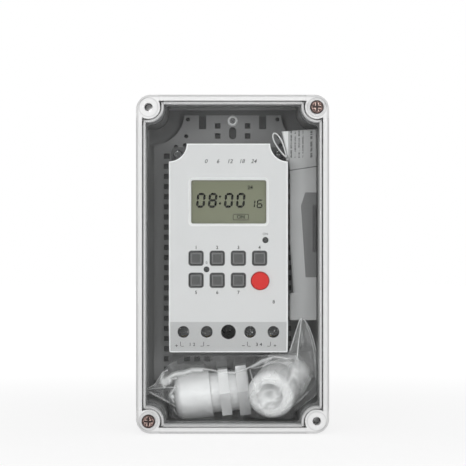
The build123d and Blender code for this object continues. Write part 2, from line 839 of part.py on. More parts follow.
# Indicator lamp, from the display board to its hole
mat_front = display_board_front + mat_thickness
with BuildPart() as indicator_lamp:
    with BuildSketch(timer_plane(display_board_front)):
        with Locations((indicator_x, indicator_z)):
            Circle(indicator_radius)
    extrude(amount=timer_front + indicator_rise - display_board_front)
    fillet(indicator_lamp.faces().sort_by(Axis.Y)[0].edges(), indicator_radius / 2)
indicator_lamp.part.label = "indicator_lamp"
export_step(indicator_lamp.part, "parts/indicator_lamp.step")

# Keypad mat with a dome under each key
dome_top = key_back - max(key_travel, manual_travel, reset_travel) - mat_dome_gap
button_places = key_places + [(manual_x, manual_z), (reset_x, reset_z)]
mat_left = key_first_x - key_opening / 2 - mat_margin / 2
mat_right = manual_x + manual_opening_radius + mat_margin / 2
mat_top = key_row_z[0] + key_opening / 2 + mat_margin / 2
mat_bottom = key_row_z[-1] - manual_opening_radius - mat_margin / 2
with BuildPart() as keypad_mat:
    with BuildSketch(timer_plane(display_board_front)):
        with Locations(((mat_left + mat_right) / 2, (mat_top + mat_bottom) / 2)):
            Rectangle(mat_right - mat_left, mat_top - mat_bottom)
        with Locations(*board_bosses):
            Circle(board_boss_radius + touch_gap, mode=Mode.SUBTRACT)
    extrude(amount=mat_thickness)
    with BuildSketch(timer_plane(mat_front)):
        with Locations(*button_places):
            Circle(mat_dome_radius)
    extrude(amount=dome_top - mat_front, taper=mat_dome_taper)
keypad_mat.part.label = "keypad_mat"
export_step(keypad_mat.part, "parts/keypad_mat.step")

# Terminal block: one pocket a pole, open to the screwdriver, to the wire and to its bar
with BuildPart() as terminal_block:
    with BuildSketch(timer_plane(block_bottom)):
        with Locations((0, block_z)):
            Rectangle(block_width, block_length)
        with Locations((0, terminal_z)):
            Circle(well_radius + well_wall + touch_gap, mode=Mode.SUBTRACT)
    extrude(amount=block_top - block_bottom)
    with BuildSketch(timer_plane(block_bottom + block_floor)):
        with Locations(*terminal_places):
            Rectangle(cage_width + 2 * slide_gap, pocket_length)
    extrude(amount=block_top - block_bottom, mode=Mode.SUBTRACT)
    with BuildSketch(timer_plane(bar_under)):
        with Locations(*[(x, (terminal_z + block_end) / 2) for x in terminal_x]):
            Rectangle(bar_width + 2 * touch_gap, block_end - terminal_z)
    extrude(amount=block_top - bar_under, mode=Mode.SUBTRACT)
    with BuildSketch(timer_plane(cage_bottom + cage_wall)):
        with Locations(*[(x, (timer_bottom + block_inset + terminal_z) / 2) for x in terminal_x]):
            Rectangle(entry_width, terminal_z - timer_bottom - block_inset)
    extrude(amount=cage_wire_gap, mode=Mode.SUBTRACT)
terminal_block.part.label = "terminal_block"
export_step(terminal_block.part, "parts/terminal_block.step")

# Current bars, bent down to the power board
power_board_back = timer_floor + power_board_rise
power_board_front = power_board_back + board_thickness
bar_foot_z = block_end + bar_end_gap
bar_near = terminal_z - pocket_length / 2 + slide_gap
with BuildPart() as current_bars:
    with BuildSketch(timer_plane(bar_under)):
        with Locations(*[(x, (bar_near + bar_foot_z + bar_foot_thickness) / 2) for x in terminal_x]):
            Rectangle(bar_width, bar_foot_z + bar_foot_thickness - bar_near)
    extrude(amount=bar_thickness)
    with BuildSketch(timer_plane(power_board_front)):
        with Locations(*[(x, bar_foot_z + bar_foot_thickness / 2) for x in terminal_x]):
            Rectangle(bar_width, bar_foot_thickness)
    extrude(amount=bar_top - power_board_front)
current_bars.part.label = "current_bars"
export_step(current_bars.part, "parts/current_bars.step")

# Terminal screws, their tips on the bars, and the cages that rise on them
for number, x in enumerate(terminal_x, start=1):
    with BuildPart() as terminal_screw:
        with BuildSketch(timer_plane(head_under)):
            with Locations((x, terminal_z)):
                Circle(terminal_head_radius)
        extrude(amount=terminal_head_height)
        with BuildSketch(timer_plane(bar_top + tip_gap)):
            with Locations((x, terminal_z)):
                Circle(terminal_screw_radius)
        extrude(amount=head_under - bar_top - tip_gap)
        with BuildSketch(timer_plane(head_top)):
            with Locations((x, terminal_z)):
                add(cross_slot(terminal_head_radius))
        extrude(amount=-cross_sink * terminal_head_height, mode=Mode.SUBTRACT)
    terminal_screw.part.label = f"terminal_screw_{number}"
    export_step(terminal_screw.part, f"parts/terminal_screw_{number}.step")

    with BuildPart() as clamp_cage:
        with BuildSketch(timer_plane(cage_bottom)):
            with Locations((x, terminal_z)):
                Rectangle(cage_width, cage_length)
        extrude(amount=cage_top - cage_bottom)
        with BuildSketch(timer_plane(cage_bottom + cage_wall)):
            with Locations((x, terminal_z)):
                Rectangle(cage_width - 2 * cage_wall, cage_length)
        extrude(amount=cage_top - cage_bottom - 2 * cage_wall, mode=Mode.SUBTRACT)
        with BuildSketch(timer_plane(cage_top)):
            with Locations((x, terminal_z)):
                Circle(terminal_screw_radius + thread_gap)
        extrude(amount=-cage_wall, mode=Mode.SUBTRACT)
    clamp_cage.part.label = f"clamp_cage_{number}"
    export_step(clamp_cage.part, f"parts/clamp_cage_{number}.step")

# Power board on its bosses, with room for the joining screws
power_middle = (power_board_top + power_board_bottom) / 2
with BuildPart() as power_board:
    with BuildSketch(timer_plane(power_board_back)):
        with Locations((0, power_middle)):
            Rectangle(power_board_width, power_board_top - power_board_bottom)
        with Locations(*joint_places):
            Circle(joint_boss_radius + slide_gap, mode=Mode.SUBTRACT)
        with Locations((0, terminal_z)):
            Circle(well_radius + well_wall + slide_gap, mode=Mode.SUBTRACT)
    extrude(amount=board_thickness)
power_board.part.label = "power_board"
export_step(power_board.part, "parts/power_board.step")

# Relay and dropper capacitor
for name, size, place in (
    ("relay", relay_size, relay_place),
    ("dropper_capacitor", dropper_size, dropper_place),
):
    with BuildPart() as block:
        with BuildSketch(timer_plane(power_board_front)):
            with Locations(place):
                RectangleRounded(size[0], size[1], part_corner_radius)
        extrude(amount=size[2])
        chamfer(block.faces().sort_by(Axis.Y)[0].edges(), part_edge)
    block.part.label = name
    export_step(block.part, f"parts/{name}.step")

# Reservoir capacitor and back-up battery
for name, radius, height, place in (
    ("reservoir_capacitor", reservoir_radius, reservoir_height, reservoir_place),
    ("backup_battery", battery_radius, battery_height, battery_place),
):
    with BuildPart() as can:
        with BuildSketch(timer_plane(power_board_front)):
            with Locations(place):
                Circle(radius)
        extrude(amount=height)
        fillet(can.faces().sort_by(Axis.Y)[0].edges(), part_edge)
    can.part.label = name
    export_step(can.part, f"parts/{name}.step")

# Pin header between the two boards
header_height = display_board_front - board_thickness - power_board_front
header_length = header_pins * header_pitch
with BuildPart() as pin_header:
    with BuildSketch(timer_plane(power_board_front)):
        with Locations(header_place):
            Rectangle(header_length, header_body)
    extrude(amount=header_body)
    with BuildSketch(timer_plane(power_board_front + header_height)):
        with Locations(header_place):
            Rectangle(header_length, header_body)
    extrude(amount=-header_body)
    with BuildSketch(timer_plane(power_board_front + header_body)):
        with Locations(header_place):
            with GridLocations(header_pitch, header_pitch, header_pins, 1):
                Rectangle(header_pin_side, header_pin_side)
    extrude(amount=header_height - 2 * header_body)
pin_header.part.label = "pin_header"
export_step(pin_header.part, "parts/pin_header.step")

# Leaflet, folded narrow and wedged between the timer and the wall of the box
timer_side = timer_x + timer_width / 2
leaflet_left = timer_side + leaflet_side_gap
notch_bottom = timer_z + timer_height / 2 - timer_notch_radius
leaflet_right = box_width / 2 - ledge_width - touch_gap
with BuildPart() as leaflet:
    with BuildSketch(front(leaflet_height)):
        Polygon(
            (leaflet_left, leaflet_bottom),
            (leaflet_right, leaflet_bottom),
            (leaflet_right, leaflet_top + leaflet_lean),
            (leaflet_left - leaflet_flare, leaflet_top),
            (timer_side + touch_gap, notch_bottom + touch_gap),
            (leaflet_left, leaflet_crease),
            align=None,
        )
    extrude(amount=leaflet_thickness)
leaflet.part.label = "leaflet"
export_step(leaflet.part, "parts/leaflet.step")

# Cable glands: each has a body, a seal, a dome nut and a lock nut on one axis
bag_floor = -(box_height / 2 - base_wall) + touch_gap
gland_floor = bag_floor + film + touch_gap
gland_a_lean = radians(gland_a_tilt)
gland_b_mouth_x = box_width / 2 - gland_b_side_inset
gland_a_mouth_x = gland_b_mouth_x - glands_apart
gland_a_mouth_z = gland_floor + dome_radius * cos(gland_a_lean)
nut_corner = gland_nut_width / sqrt(3)
bag_back = plate_front + small_head_height + touch_gap
gland_a_height = bag_back + film + touch_gap + nut_corner
gland_a = Plane(
    origin=(gland_a_mouth_x, -gland_a_height, gland_a_mouth_z),
    x_dir=(0, -1, 0),
    z_dir=(cos(gland_a_lean), 0, sin(gland_a_lean)),
)
yaw = radians(gland_b_yaw)
rise = radians(gland_b_rise)
ledge_floor = -(box_height / 2 - ledge_width) + touch_gap
gland_b_mouth_z = ledge_floor + film + touch_gap + dome_radius * cos(rise)
gland_b = Plane(
    origin=(gland_b_mouth_x, -gland_b_mouth_height, gland_b_mouth_z),
    x_dir=(cos(yaw), -sin(yaw), 0),
    z_dir=(sin(yaw) * cos(rise), cos(yaw) * cos(rise), sin(rise)),
)
gland_hex_end = gland_hex_start + gland_hex_thickness
thread_stretches = ((dome_lip + gland_seat, gland_hex_start), (gland_hex_end, gland_end))
for name, axis_plane in (("a", gland_a), ("b", gland_b)):
    with BuildPart() as gland_body:
        with BuildSketch(axis_plane.offset(gland_seat)):
            Circle(gland_thread_radius)
        extrude(amount=gland_end - gland_seat)
        with BuildSketch(axis_plane.offset(gland_hex_start)):
            RegularPolygon(gland_hex_width / 2, 6, major_radius=False)
        extrude(amount=gland_hex_thickness)
        for start, end in thread_stretches:
            for step in range(1, int((end - start) / gland_thread_pitch)):
                with BuildSketch(axis_plane.offset(start + step * gland_thread_pitch)):
                    Circle(gland_thread_radius)
                    Circle(gland_thread_radius - gland_thread_groove, mode=Mode.SUBTRACT)
                extrude(amount=gland_thread_pitch / 2, mode=Mode.SUBTRACT)
        with BuildSketch(axis_plane.offset(gland_seat)):
            Circle(gland_bore_radius)
        extrude(amount=gland_end - gland_seat, mode=Mode.SUBTRACT)
    gland_body.part.label = f"gland_{name}_body"
    export_step(gland_body.part, f"parts/gland_{name}_body.step")

    with BuildPart() as gland_dome_nut:
        with BuildSketch(axis_plane):
            Circle(dome_radius)
        extrude(amount=dome_length)
        mouth_face = gland_dome_nut.faces().sort_by(Axis(axis_plane.origin, axis_plane.z_dir))[0]
        fillet(mouth_face.edges(), dome_round)
        with BuildSketch(axis_plane):
            Circle(dome_mouth_radius)
        extrude(amount=dome_length, mode=Mode.SUBTRACT)
        with BuildSketch(axis_plane.offset(dome_lip)):
            Circle(gland_thread_radius + gland_thread_clear)
        extrude(amount=dome_length - dome_lip, mode=Mode.SUBTRACT)
    gland_dome_nut.part.label = f"gland_{name}_dome_nut"
    export_step(gland_dome_nut.part, f"parts/gland_{name}_dome_nut.step")

    with BuildPart() as gland_seal:
        with BuildSketch(axis_plane.offset(dome_lip + touch_gap)):
            Circle(seal_radius)
            Circle(seal_bore_radius, mode=Mode.SUBTRACT)
        extrude(amount=gland_seat - dome_lip - 2 * touch_gap)
    gland_seal.part.label = f"gland_{name}_seal"
    export_step(gland_seal.part, f"parts/gland_{name}_seal.step")

    with BuildPart() as gland_lock_nut:
        with BuildSketch(axis_plane.offset(gland_nut_start)):
            RegularPolygon(gland_nut_width / 2, 6, major_radius=False)
            Circle(gland_thread_radius + gland_thread_clear, mode=Mode.SUBTRACT)
        extrude(amount=gland_nut_thickness)
    gland_lock_nut.part.label = f"gland_{name}_lock_nut"
    export_step(gland_lock_nut.part, f"parts/gland_{name}_lock_nut.step")

# Bag round both glands, sealed, of thin film: shallow on the left and deep on the right
bag_left = -(box_width / 2 - base_wall) + bag_side_gap
bag_right = box_width / 2 - ledge_width - touch_gap
bag_top = timer_z + timer_bottom - bag_side_gap
bag_step_x = gland_b_mouth_x - bag_step_inset
deep_left = bag_step_x - bag_lobe_overlap
shallow_outline = [
    (bag_left, bag_floor + bag_tip_rise),
    *[(gland_a_mouth_x + across, bag_floor + up) for across, up in bag_shallow_top],
    (bag_step_x, bag_floor + bag_shallow_top[-1][1]),
    (bag_step_x, bag_floor),
    *[(gland_a_mouth_x + across, bag_floor + up) for across, up in bag_shallow_foot],
]
deep_outline = [
    (deep_left, bag_top - bag_step_drop),
    (bag_step_x, bag_top),
    (timer_side + bag_side_gap, bag_top),
    (timer_side + bag_ear_foot[0], bag_top + bag_ear_foot[1]),
    *[(bag_right - across, bag_top + up) for across, up in bag_ear],
    *[(bag_right - across, ledge_floor + up) for across, up in bag_deep_foot],
    (deep_left, ledge_floor),
]
bag_lobes = ((shallow_outline, bag_shallow_height), (deep_outline, bag_deep_height))
with BuildPart() as bag_hollow:
    for outline, height in bag_lobes:
        with BuildSketch(front(bag_back + film)):
            Polygon(*outline, align=None)
            offset(amount=-film, kind=Kind.INTERSECTION)
        extrude(amount=height - bag_back - 2 * film)
with BuildPart() as accessory_bag:
    for outline, height in bag_lobes:
        with BuildSketch(front(bag_back)):
            Polygon(*outline, align=None)
        extrude(amount=height - bag_back)
    add(bag_hollow.part, mode=Mode.SUBTRACT)
accessory_bag.part.label = "accessory_bag"
export_step(accessory_bag.part, "parts/accessory_bag.step")
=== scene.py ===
import json
import math

import bmesh
import bpy
import numpy as np
from mathutils import Matrix, Vector, noise
from mathutils.bvhtree import BVHTree


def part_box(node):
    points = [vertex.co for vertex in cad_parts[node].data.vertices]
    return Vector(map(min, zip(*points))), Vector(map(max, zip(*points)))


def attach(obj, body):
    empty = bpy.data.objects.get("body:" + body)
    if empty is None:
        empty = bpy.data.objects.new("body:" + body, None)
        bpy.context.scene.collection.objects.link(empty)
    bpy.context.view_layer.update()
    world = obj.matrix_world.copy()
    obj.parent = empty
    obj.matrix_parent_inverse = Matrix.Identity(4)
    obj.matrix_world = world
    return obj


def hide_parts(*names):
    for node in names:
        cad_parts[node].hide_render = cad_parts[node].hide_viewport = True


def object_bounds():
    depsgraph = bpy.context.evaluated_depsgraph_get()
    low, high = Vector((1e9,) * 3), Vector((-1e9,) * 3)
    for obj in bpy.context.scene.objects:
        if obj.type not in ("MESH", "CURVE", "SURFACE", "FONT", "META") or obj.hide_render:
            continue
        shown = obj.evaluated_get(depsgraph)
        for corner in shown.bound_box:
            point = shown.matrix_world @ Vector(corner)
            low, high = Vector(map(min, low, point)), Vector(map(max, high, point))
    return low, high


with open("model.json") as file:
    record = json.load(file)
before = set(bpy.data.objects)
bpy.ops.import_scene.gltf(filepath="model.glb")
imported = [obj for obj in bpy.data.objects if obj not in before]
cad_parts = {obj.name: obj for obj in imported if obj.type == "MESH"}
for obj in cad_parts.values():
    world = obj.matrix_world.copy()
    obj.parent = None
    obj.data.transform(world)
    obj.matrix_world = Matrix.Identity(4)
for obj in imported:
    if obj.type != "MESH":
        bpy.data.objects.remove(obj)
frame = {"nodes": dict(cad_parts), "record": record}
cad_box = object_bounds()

# A digital timer switch in its wall box, seen through the box's clear lid.
# Places are given as the box is drawn: millimetres across, in front of the wall and up.
# Blender holds them in metres, with the wall behind at +Y.
MM = 0.001
nodes = frame["nodes"]


def spot(across, height, up):
    """A place in the box, in metres."""
    return Vector((across, -height, up)) * MM


def node_span(name):
    """Lowest and highest of a node: across, in front of the wall and up, in millimetres."""
    low, high = (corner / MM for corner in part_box(name))
    return (low.x, -high.y, low.z), (high.x, -low.y, high.z)


# Camera: level, a long lens, a little above the middle of the box
LENS = 145.0
SENSOR = 36.0
CAMERA_DISTANCE = 1100.5
CAMERA_ACROSS = 0.23
CAMERA_UP = 18.4
LID_FRONT = node_span("clear_lid")[1][1]


def make_camera():
    lens = bpy.data.cameras.new("camera")
    lens.lens = LENS
    lens.sensor_width = SENSOR
    lens.clip_end = 50
    camera = bpy.data.objects.new("camera", lens)
    camera.location = spot(CAMERA_ACROSS, LID_FRONT + CAMERA_DISTANCE, CAMERA_UP)
    camera.rotation_euler = (math.radians(90), 0, 0)
    bpy.context.scene.collection.objects.link(camera)
    bpy.context.scene.camera = camera


make_camera()


# Materials
def tint(red, green, blue):
    """A colour as it looks, each part from 0 to 255, made linear."""
    parts = [value / 255 for value in (red, green, blue)]
    return tuple(p / 12.92 if p < 0.04045 else ((p + 0.055) / 1.055) ** 2.4 for p in parts) + (1.0,)


def grey(level):
    return tint(level, level, level)


class Signal:
    """One socket of a node tree. Python's own arithmetic on it adds Math nodes."""

    def __init__(self, maker, socket):
        self.maker = maker
        self.socket = socket

    def maths(self, operation, *others):
        return self.maker.maths(operation, self, *others)

    def __add__(self, other):
        return self.maths("ADD", other)

    def __sub__(self, other):
        return self.maths("SUBTRACT", other)

    def __rsub__(self, other):
        return self.maker.maths("SUBTRACT", other, self)

    def __mul__(self, other):
        return self.maths("MULTIPLY", other)

    def __truediv__(self, other):
        return self.maths("DIVIDE", other)

    def __pow__(self, other):
        return self.maths("POWER", other)

    def __abs__(self):
        return self.maths("ABSOLUTE")

    __radd__ = __add__
    __rmul__ = __mul__

    def above(self, edge, soft=0.0):
        """1 where this is over edge, 0 below it, with a soft step between."""
        if soft == 0:
            return self.maths("GREATER_THAN", edge)
        return self.maker.node("ShaderNodeMapRange", {"interpolation_type": "SMOOTHSTEP"},
                               {"Value": self, "From Min": edge - soft / 2, "From Max": edge + soft / 2})

    def below(self, edge, soft=0.0):
        return 1 - self.above(edge, soft)

    def at_least(self, other):
        return self.maths("MAXIMUM", other)

    def at_most(self, other):
        return self.maths("MINIMUM", other)

    def within(self, low, high, soft=0.0):
        return self.above(low, soft) * self.below(high, soft)


class NodeMaker:
    """A node tree, with its nodes made by one method."""

    def __init__(self, tree):
        self.tree = tree

    def node(self, kind, settings=None, values=None, out=0):
        """Adds a node: its settings first, then the values or links of its sockets."""
        made = self.tree.nodes.new(kind)
        for name, value in (settings or {}).items():
            setattr(made, name, value)
        for name, value in (values or {}).items():
            if isinstance(value, Signal):
                self.tree.links.new(value.socket, made.inputs[name])
            else:
                made.inputs[name].default_value = value
        return Signal(self, made.outputs[out])

    def maths(self, operation, *values):
        return self.node("ShaderNodeMath", {"operation": operation}, dict(enumerate(values)))

    def seen(self):
        """1 for what the camera sees straight, in a mirror or through clear plastic."""
        camera, glossy, through = (self.node("ShaderNodeLightPath", out=name) for name in
                                   ("Is Camera Ray", "Is Glossy Ray", "Is Transmission Ray"))
        return camera.at_least(glossy).at_least(through)


# The Mix node's sockets for colours, which share their names with its other sockets
MIX_FIRST, MIX_SECOND, MIX_RESULT = 6, 7, 2


class Paint(NodeMaker):
    """One material."""

    def __init__(self, name):
        self.material = bpy.data.materials.new(name)
        self.material.use_nodes = True
        super().__init__(self.material.node_tree)
        self.tree.nodes.clear()

    def place(self):
        """Object coordinates, which are the box's own metres."""
        return self.node("ShaderNodeTexCoord", out="Object")

    def millimetres(self):
        """Across, in front of the wall and up, in millimetres."""
        place = self.place()
        split = [self.node("ShaderNodeSeparateXYZ", None, {0: place}, out) for out in range(3)]
        return split[0] / MM, split[1] / -MM, split[2] / MM

    def noise(self, size, detail=2.0, roughness=0.5, stretch=(1, 1, 1)):
        """Noise whose patches are about size millimetres wide, longer along a low stretch."""
        place = self.node("ShaderNodeMapping", None, {"Vector": self.place(), "Scale": stretch})
        return self.node("ShaderNodeTexNoise", None, {"Vector": place, "Scale": 1 / (size * MM),
                                                      "Detail": detail, "Roughness": roughness})

    def moulding_noise(self, cloud_size=14, spark_size=0.35):
        """The faint clouds and the fine spark texture of moulded plastic."""
        return self.noise(cloud_size, detail=3), self.noise(spark_size)

    def cell_edges(self, size):
        """Distance from the edges of cells about size millimetres wide."""
        return self.node("ShaderNodeTexVoronoi", {"feature": "DISTANCE_TO_EDGE"},
                         {"Vector": self.place(), "Scale": 1 / (size * MM)}, "Distance")

    def attribute(self, name):
        return self.node("ShaderNodeAttribute", {"attribute_name": name}, None, "Fac")

    def mix(self, factor, first, second):
        """A colour between two others."""
        return self.node("ShaderNodeMix", {"data_type": "RGBA"},
                         {0: factor, MIX_FIRST: first, MIX_SECOND: second}, MIX_RESULT)

    def bump(self, height, depth):
        """A normal from a height signal, depth millimetres deep."""
        return self.node("ShaderNodeBump", None, {"Height": height, "Distance": depth * MM})

    def principled(self, **values):
        named = {name.replace("_", " "): value for name, value in values.items()}
        return self.node("ShaderNodeBsdfPrincipled", None, named)

    def blend(self, factor, first, second):
        """A shader between two others."""
        return self.node("ShaderNodeMixShader", None, {0: factor, 1: first, 2: second})

    def done(self, surface):
        last = self.tree.nodes.new("ShaderNodeOutputMaterial")
        self.tree.links.new(surface.socket, last.inputs["Surface"])
        return self.material


def scale_colour(colour, share):
    return tuple(min(1.0, part * share) for part in colour[:3]) + (1.0,)


def uneven(level, *noises):
    """A level swayed by noise, each noise given with the width of its sway."""
    for signal, sway in noises:
        level = level + (signal - 0.5) * sway
    return level


# Outlines that the finishes follow, as millimetres outside them
def outside_box(across, up, half_width, half_height, radius=0.0):
    """Outside a rounded rectangle about the origin."""
    far_x = abs(across) - (half_width - radius)
    far_z = abs(up) - (half_height - radius)
    corner = (far_x.at_least(0) ** 2.0 + far_z.at_least(0) ** 2.0) ** 0.5
    return corner + far_x.at_least(far_z).at_most(0) - radius


def from_point(across, up, x, z):
    return ((across - x) ** 2.0 + (up - z) ** 2.0) ** 0.5


# The lid: half its size, half its window's, one corner fixing, and the radii round it
BOX_HALF = (57.0, 100.0)
BOX_CORNER = 8.5
WINDOW_HALF = (52.6, 95.6)
FIXING = (49.7, 92.7)
WINDOW_NOTCH = 7.8
SEAT_RADIUS = 5.6


def outside_window(across, up):
    """Outside the lid's raised window, which is scooped round each fixing."""
    side = outside_box(across, up, *WINDOW_HALF)
    return side.at_least(WINDOW_NOTCH - from_point(abs(across), abs(up), *FIXING))


# The timer's front cover, its scooped corners and its sloping foot
COVER_LOW, COVER_HIGH = node_span("timer_front_cover")
COVER_X = (COVER_LOW[0] + COVER_HIGH[0]) / 2
COVER_FACE = COVER_HIGH[1]
COVER_HALF_WIDTH = (COVER_HIGH[0] - COVER_LOW[0]) / 2
COVER_NOTCH = 10.6
SLOPE_LENGTH = 18.5
SLOPE_DROP = 8.0
SLOPE_LEAN = math.atan2(SLOPE_DROP, SLOPE_LENGTH)


def outside_cover(across, up):
    """Outside the timer's front cover, which is scooped at its two upper corners."""
    from_middle = abs(across - COVER_X)
    side = (from_middle - COVER_HALF_WIDTH).at_least(up - COVER_HIGH[2]).at_least(COVER_LOW[2] - up)
    return side.at_least(COVER_NOTCH - from_point(from_middle, up, COVER_HALF_WIDTH, COVER_HIGH[2]))


KEY_X = (-21.7, -9.13, 3.44, 16.01)
KEY_ROWS = (3.4, -9.7)
KEYS_IN_ROW = (4, 3)
KEY_PITCH = 12.57
KEY_HALF = 4.2
KEY_CORNER = 1.5
FAR_OUTSIDE = 50


def outside_keys(across, up):
    """Outside the nearest key's opening: four in the upper row and three in the lower."""
    from_left = across - (KEY_X[0] - KEY_PITCH / 2)
    column = from_left.maths("MODULO", KEY_PITCH) - KEY_PITCH / 2
    upper, lower = (outside_box(column, up - z, KEY_HALF, KEY_HALF, KEY_CORNER) for z in KEY_ROWS)
    past_upper, past_lower = (from_left.within(0, KEY_PITCH * number).maths("LESS_THAN", 0.5)
                              for number in KEYS_IN_ROW)
    return (past_upper * FAR_OUTSIDE + upper).at_most(past_lower * FAR_OUTSIDE + lower)


# Finishes
def moulded(name, colour, roughness, grain=0.012, clouding=0.06, coat=0.0, shine=0.5):
    """Moulded plastic: a fine spark texture, faint clouds in colour and in shine."""
    paint = Paint(name)
    cloud, speckle = paint.moulding_noise()
    return paint.done(paint.principled(
        Base_Color=paint.mix(cloud, scale_colour(colour, 1 - clouding), scale_colour(colour, 1 + clouding)),
        Roughness=uneven(roughness, (cloud, 0.12), (speckle, 0.10)),
        Coat_Weight=coat,
        Specular_IOR_Level=shine,
        Normal=paint.bump(speckle, grain),
    ))


# The base: half its ledge's opening and half its mounting plate, then its corner bores
LEDGE_HALF = (52.1, 95.1)
PLATE_HALF = (48.6, 91.0)
PLATE_SCOOP = 19.8
PLATE_FACE = 20
BORE = (48.5, 91.5)
BORE_RADIUS = 5.6
BORE_TOP = 54.3
# Painted shade: the heights of the floor band, and the height above which the rim is shaded
FLOOR_HEIGHTS = (1.5, 6.0)
RIM_HEIGHT = 50.0


def base_moulding():
    """Grey moulding with painted shade on its floor, behind the plate and inside its rim, and painted
    light, near white, in the two open corner holes.
    """
    paint = Paint("base_moulding")
    across, height, up = paint.millimetres()
    cloud, speckle = paint.moulding_noise()
    # Painted shade: on the floor and inside the rim within the ledge, darkest behind the plate, and darker
    # on the open floor towards the top and the foot
    inside = outside_box(across, up, *LEDGE_HALF).below(0, 0.2)
    painted_shade_mask = inside * (height.within(*FLOOR_HEIGHTS, 1.0) + height.above(RIM_HEIGHT, 0.5)).at_most(1.0)
    # Painted light: the bores at the two open corners are near white, as if lit through
    bore = from_point(abs(across), abs(up), *BORE).below(BORE_RADIUS) * height.below(BORE_TOP)
    painted_light_in_bores = bore * (across * up).below(0)
    scoop = PLATE_SCOOP - from_point(abs(across), abs(up), *FIXING)
    on_plate = outside_box(across, up, *PLATE_HALF).at_least(scoop).below(0, 0.2)
    shade_behind_plate = on_plate * height.below(PLATE_FACE)
    open_floor_shade = paint.mix(abs(up).above(74, 14), grey(146), grey(104))
    painted_shade_colour = paint.mix(shade_behind_plate, open_floor_shade, grey(84))
    base = paint.mix(painted_shade_mask, paint.mix(cloud, grey(150), grey(160)), painted_shade_colour)
    return paint.done(paint.principled(
        Base_Color=paint.mix(painted_light_in_bores, base, grey(255)),
        Roughness=uneven(0.48, (cloud, 0.12), (speckle, 0.10)),
        Normal=paint.bump(speckle, 0.012),
    ))


# The plate's screws, above and below, and the pale ring of painted highlight round each
PLATE_SCREW = (0.0, 88.0)
SCREW_RING = (2.0, 3.2)


def plate_moulding():
    """Grey mounting plate with a painted highlight, a pale ring, round each of its screws."""
    paint = Paint("plate_moulding")
    across, _, up = paint.millimetres()
    cloud, speckle = paint.moulding_noise()
    # Painted highlight: a pale ring round each screw
    ring = from_point(across, abs(up), *PLATE_SCREW).within(*SCREW_RING, 0.3)
    return paint.done(paint.principled(
        Base_Color=paint.mix(ring, paint.mix(cloud, grey(138), grey(148)), grey(230)),
        Roughness=uneven(0.5, (cloud, 0.12), (speckle, 0.1)),
        Normal=paint.bump(speckle, 0.012),
    ))


def rubber(name, colour):
    """Soft rubber with a dusty bloom."""
    paint = Paint(name)
    dust = paint.noise(3.0, detail=4, roughness=0.65)
    return paint.done(paint.principled(
        Base_Color=paint.mix(dust.above(0.55, 0.3), colour, scale_colour(colour, 1.3)),
        Roughness=uneven(0.75, (dust, 0.2)),
        Normal=paint.bump(paint.noise(0.25), 0.01),
    ))


def plated(name, colour, roughness, painted_glints=0.0, stretch=(1, 1, 1)):
    """Plated or bare metal with drawn marks, and small bright flecks as painted glints."""
    paint = Paint(name)
    marks = paint.noise(0.5, detail=3, stretch=stretch)
    stain = paint.noise(2.2, detail=4, roughness=0.6)
    base = paint.mix(stain.above(0.5, 0.35), scale_colour(colour, 0.7), colour)
    # Painted glints: small bright flecks
    if painted_glints > 0:
        base = paint.mix(paint.noise(0.8).above(1 - painted_glints, 0.05), base, grey(235))
    return paint.done(paint.principled(
        Base_Color=base,
        Metallic=1.0,
        Roughness=uneven(roughness, (marks, 0.3)),
        Normal=paint.bump(marks, 0.01),
    ))


# A lid screw's cross slot: half its width, the outer edge of the highlight painted along it and its arms'
# length; then the size of the head's rim, where shade is painted
SLOT_HALF = 0.6
SLOT_LIP = 1.0
SLOT_REACH = 2.6
HEAD_RIM_SQUARED = 10.9


def lid_screw_steel():
    """Dark steel screws with painted shade in the cross slot and round the head's rim, and painted
    highlights along the slot's edges.
    """
    paint = Paint("lid_screw_steel")
    across, _, up = paint.millimetres()
    aside = abs(abs(across) - FIXING[0])
    above = abs(abs(up) - FIXING[1])
    from_axis = aside.at_most(above)
    along = aside.at_least(above)
    marks = paint.noise(0.8, detail=3)
    # Painted shade in the cross slot; painted highlights along its edges, broken up by noise
    slot_shade = from_axis.below(SLOT_HALF, 0.15) * along.below(SLOT_REACH, 0.2)
    lip_highlight = from_axis.within(SLOT_HALF, SLOT_LIP, 0.2) * along.below(SLOT_REACH, 0.4)
    lip_highlight = lip_highlight * marks.above(0.49, 0.12)
    # Painted shade round the rim of the head
    rim = (aside ** 2.0 + above ** 2.0).above(HEAD_RIM_SQUARED, 2.0)
    base = paint.mix(marks.above(0.5, 0.25), tint(58, 44, 40), tint(128, 104, 98))
    base = paint.mix(lip_highlight, base, tint(214, 188, 178))
    return paint.done(paint.principled(
        Base_Color=paint.mix(slot_shade.at_least(rim), base, tint(46, 34, 32)),
        Metallic=0.5,
        Roughness=uneven(0.42, (marks, 0.2)),
        Normal=paint.bump(marks, 0.01),
    ))


def see_through(paint, colour, gloss, roughness):
    """Clear plastic without bending: what lies behind, with a share of gloss over it."""
    clear = paint.node("ShaderNodeBsdfTransparent", None, {0: colour})
    shine = paint.node("ShaderNodeBsdfGlossy", None, {"Color": grey(250), "Roughness": roughness})
    fresnel = paint.node("ShaderNodeFresnel", None, {"IOR": 1.45})
    return paint.blend(fresnel * gloss, clear, shine)


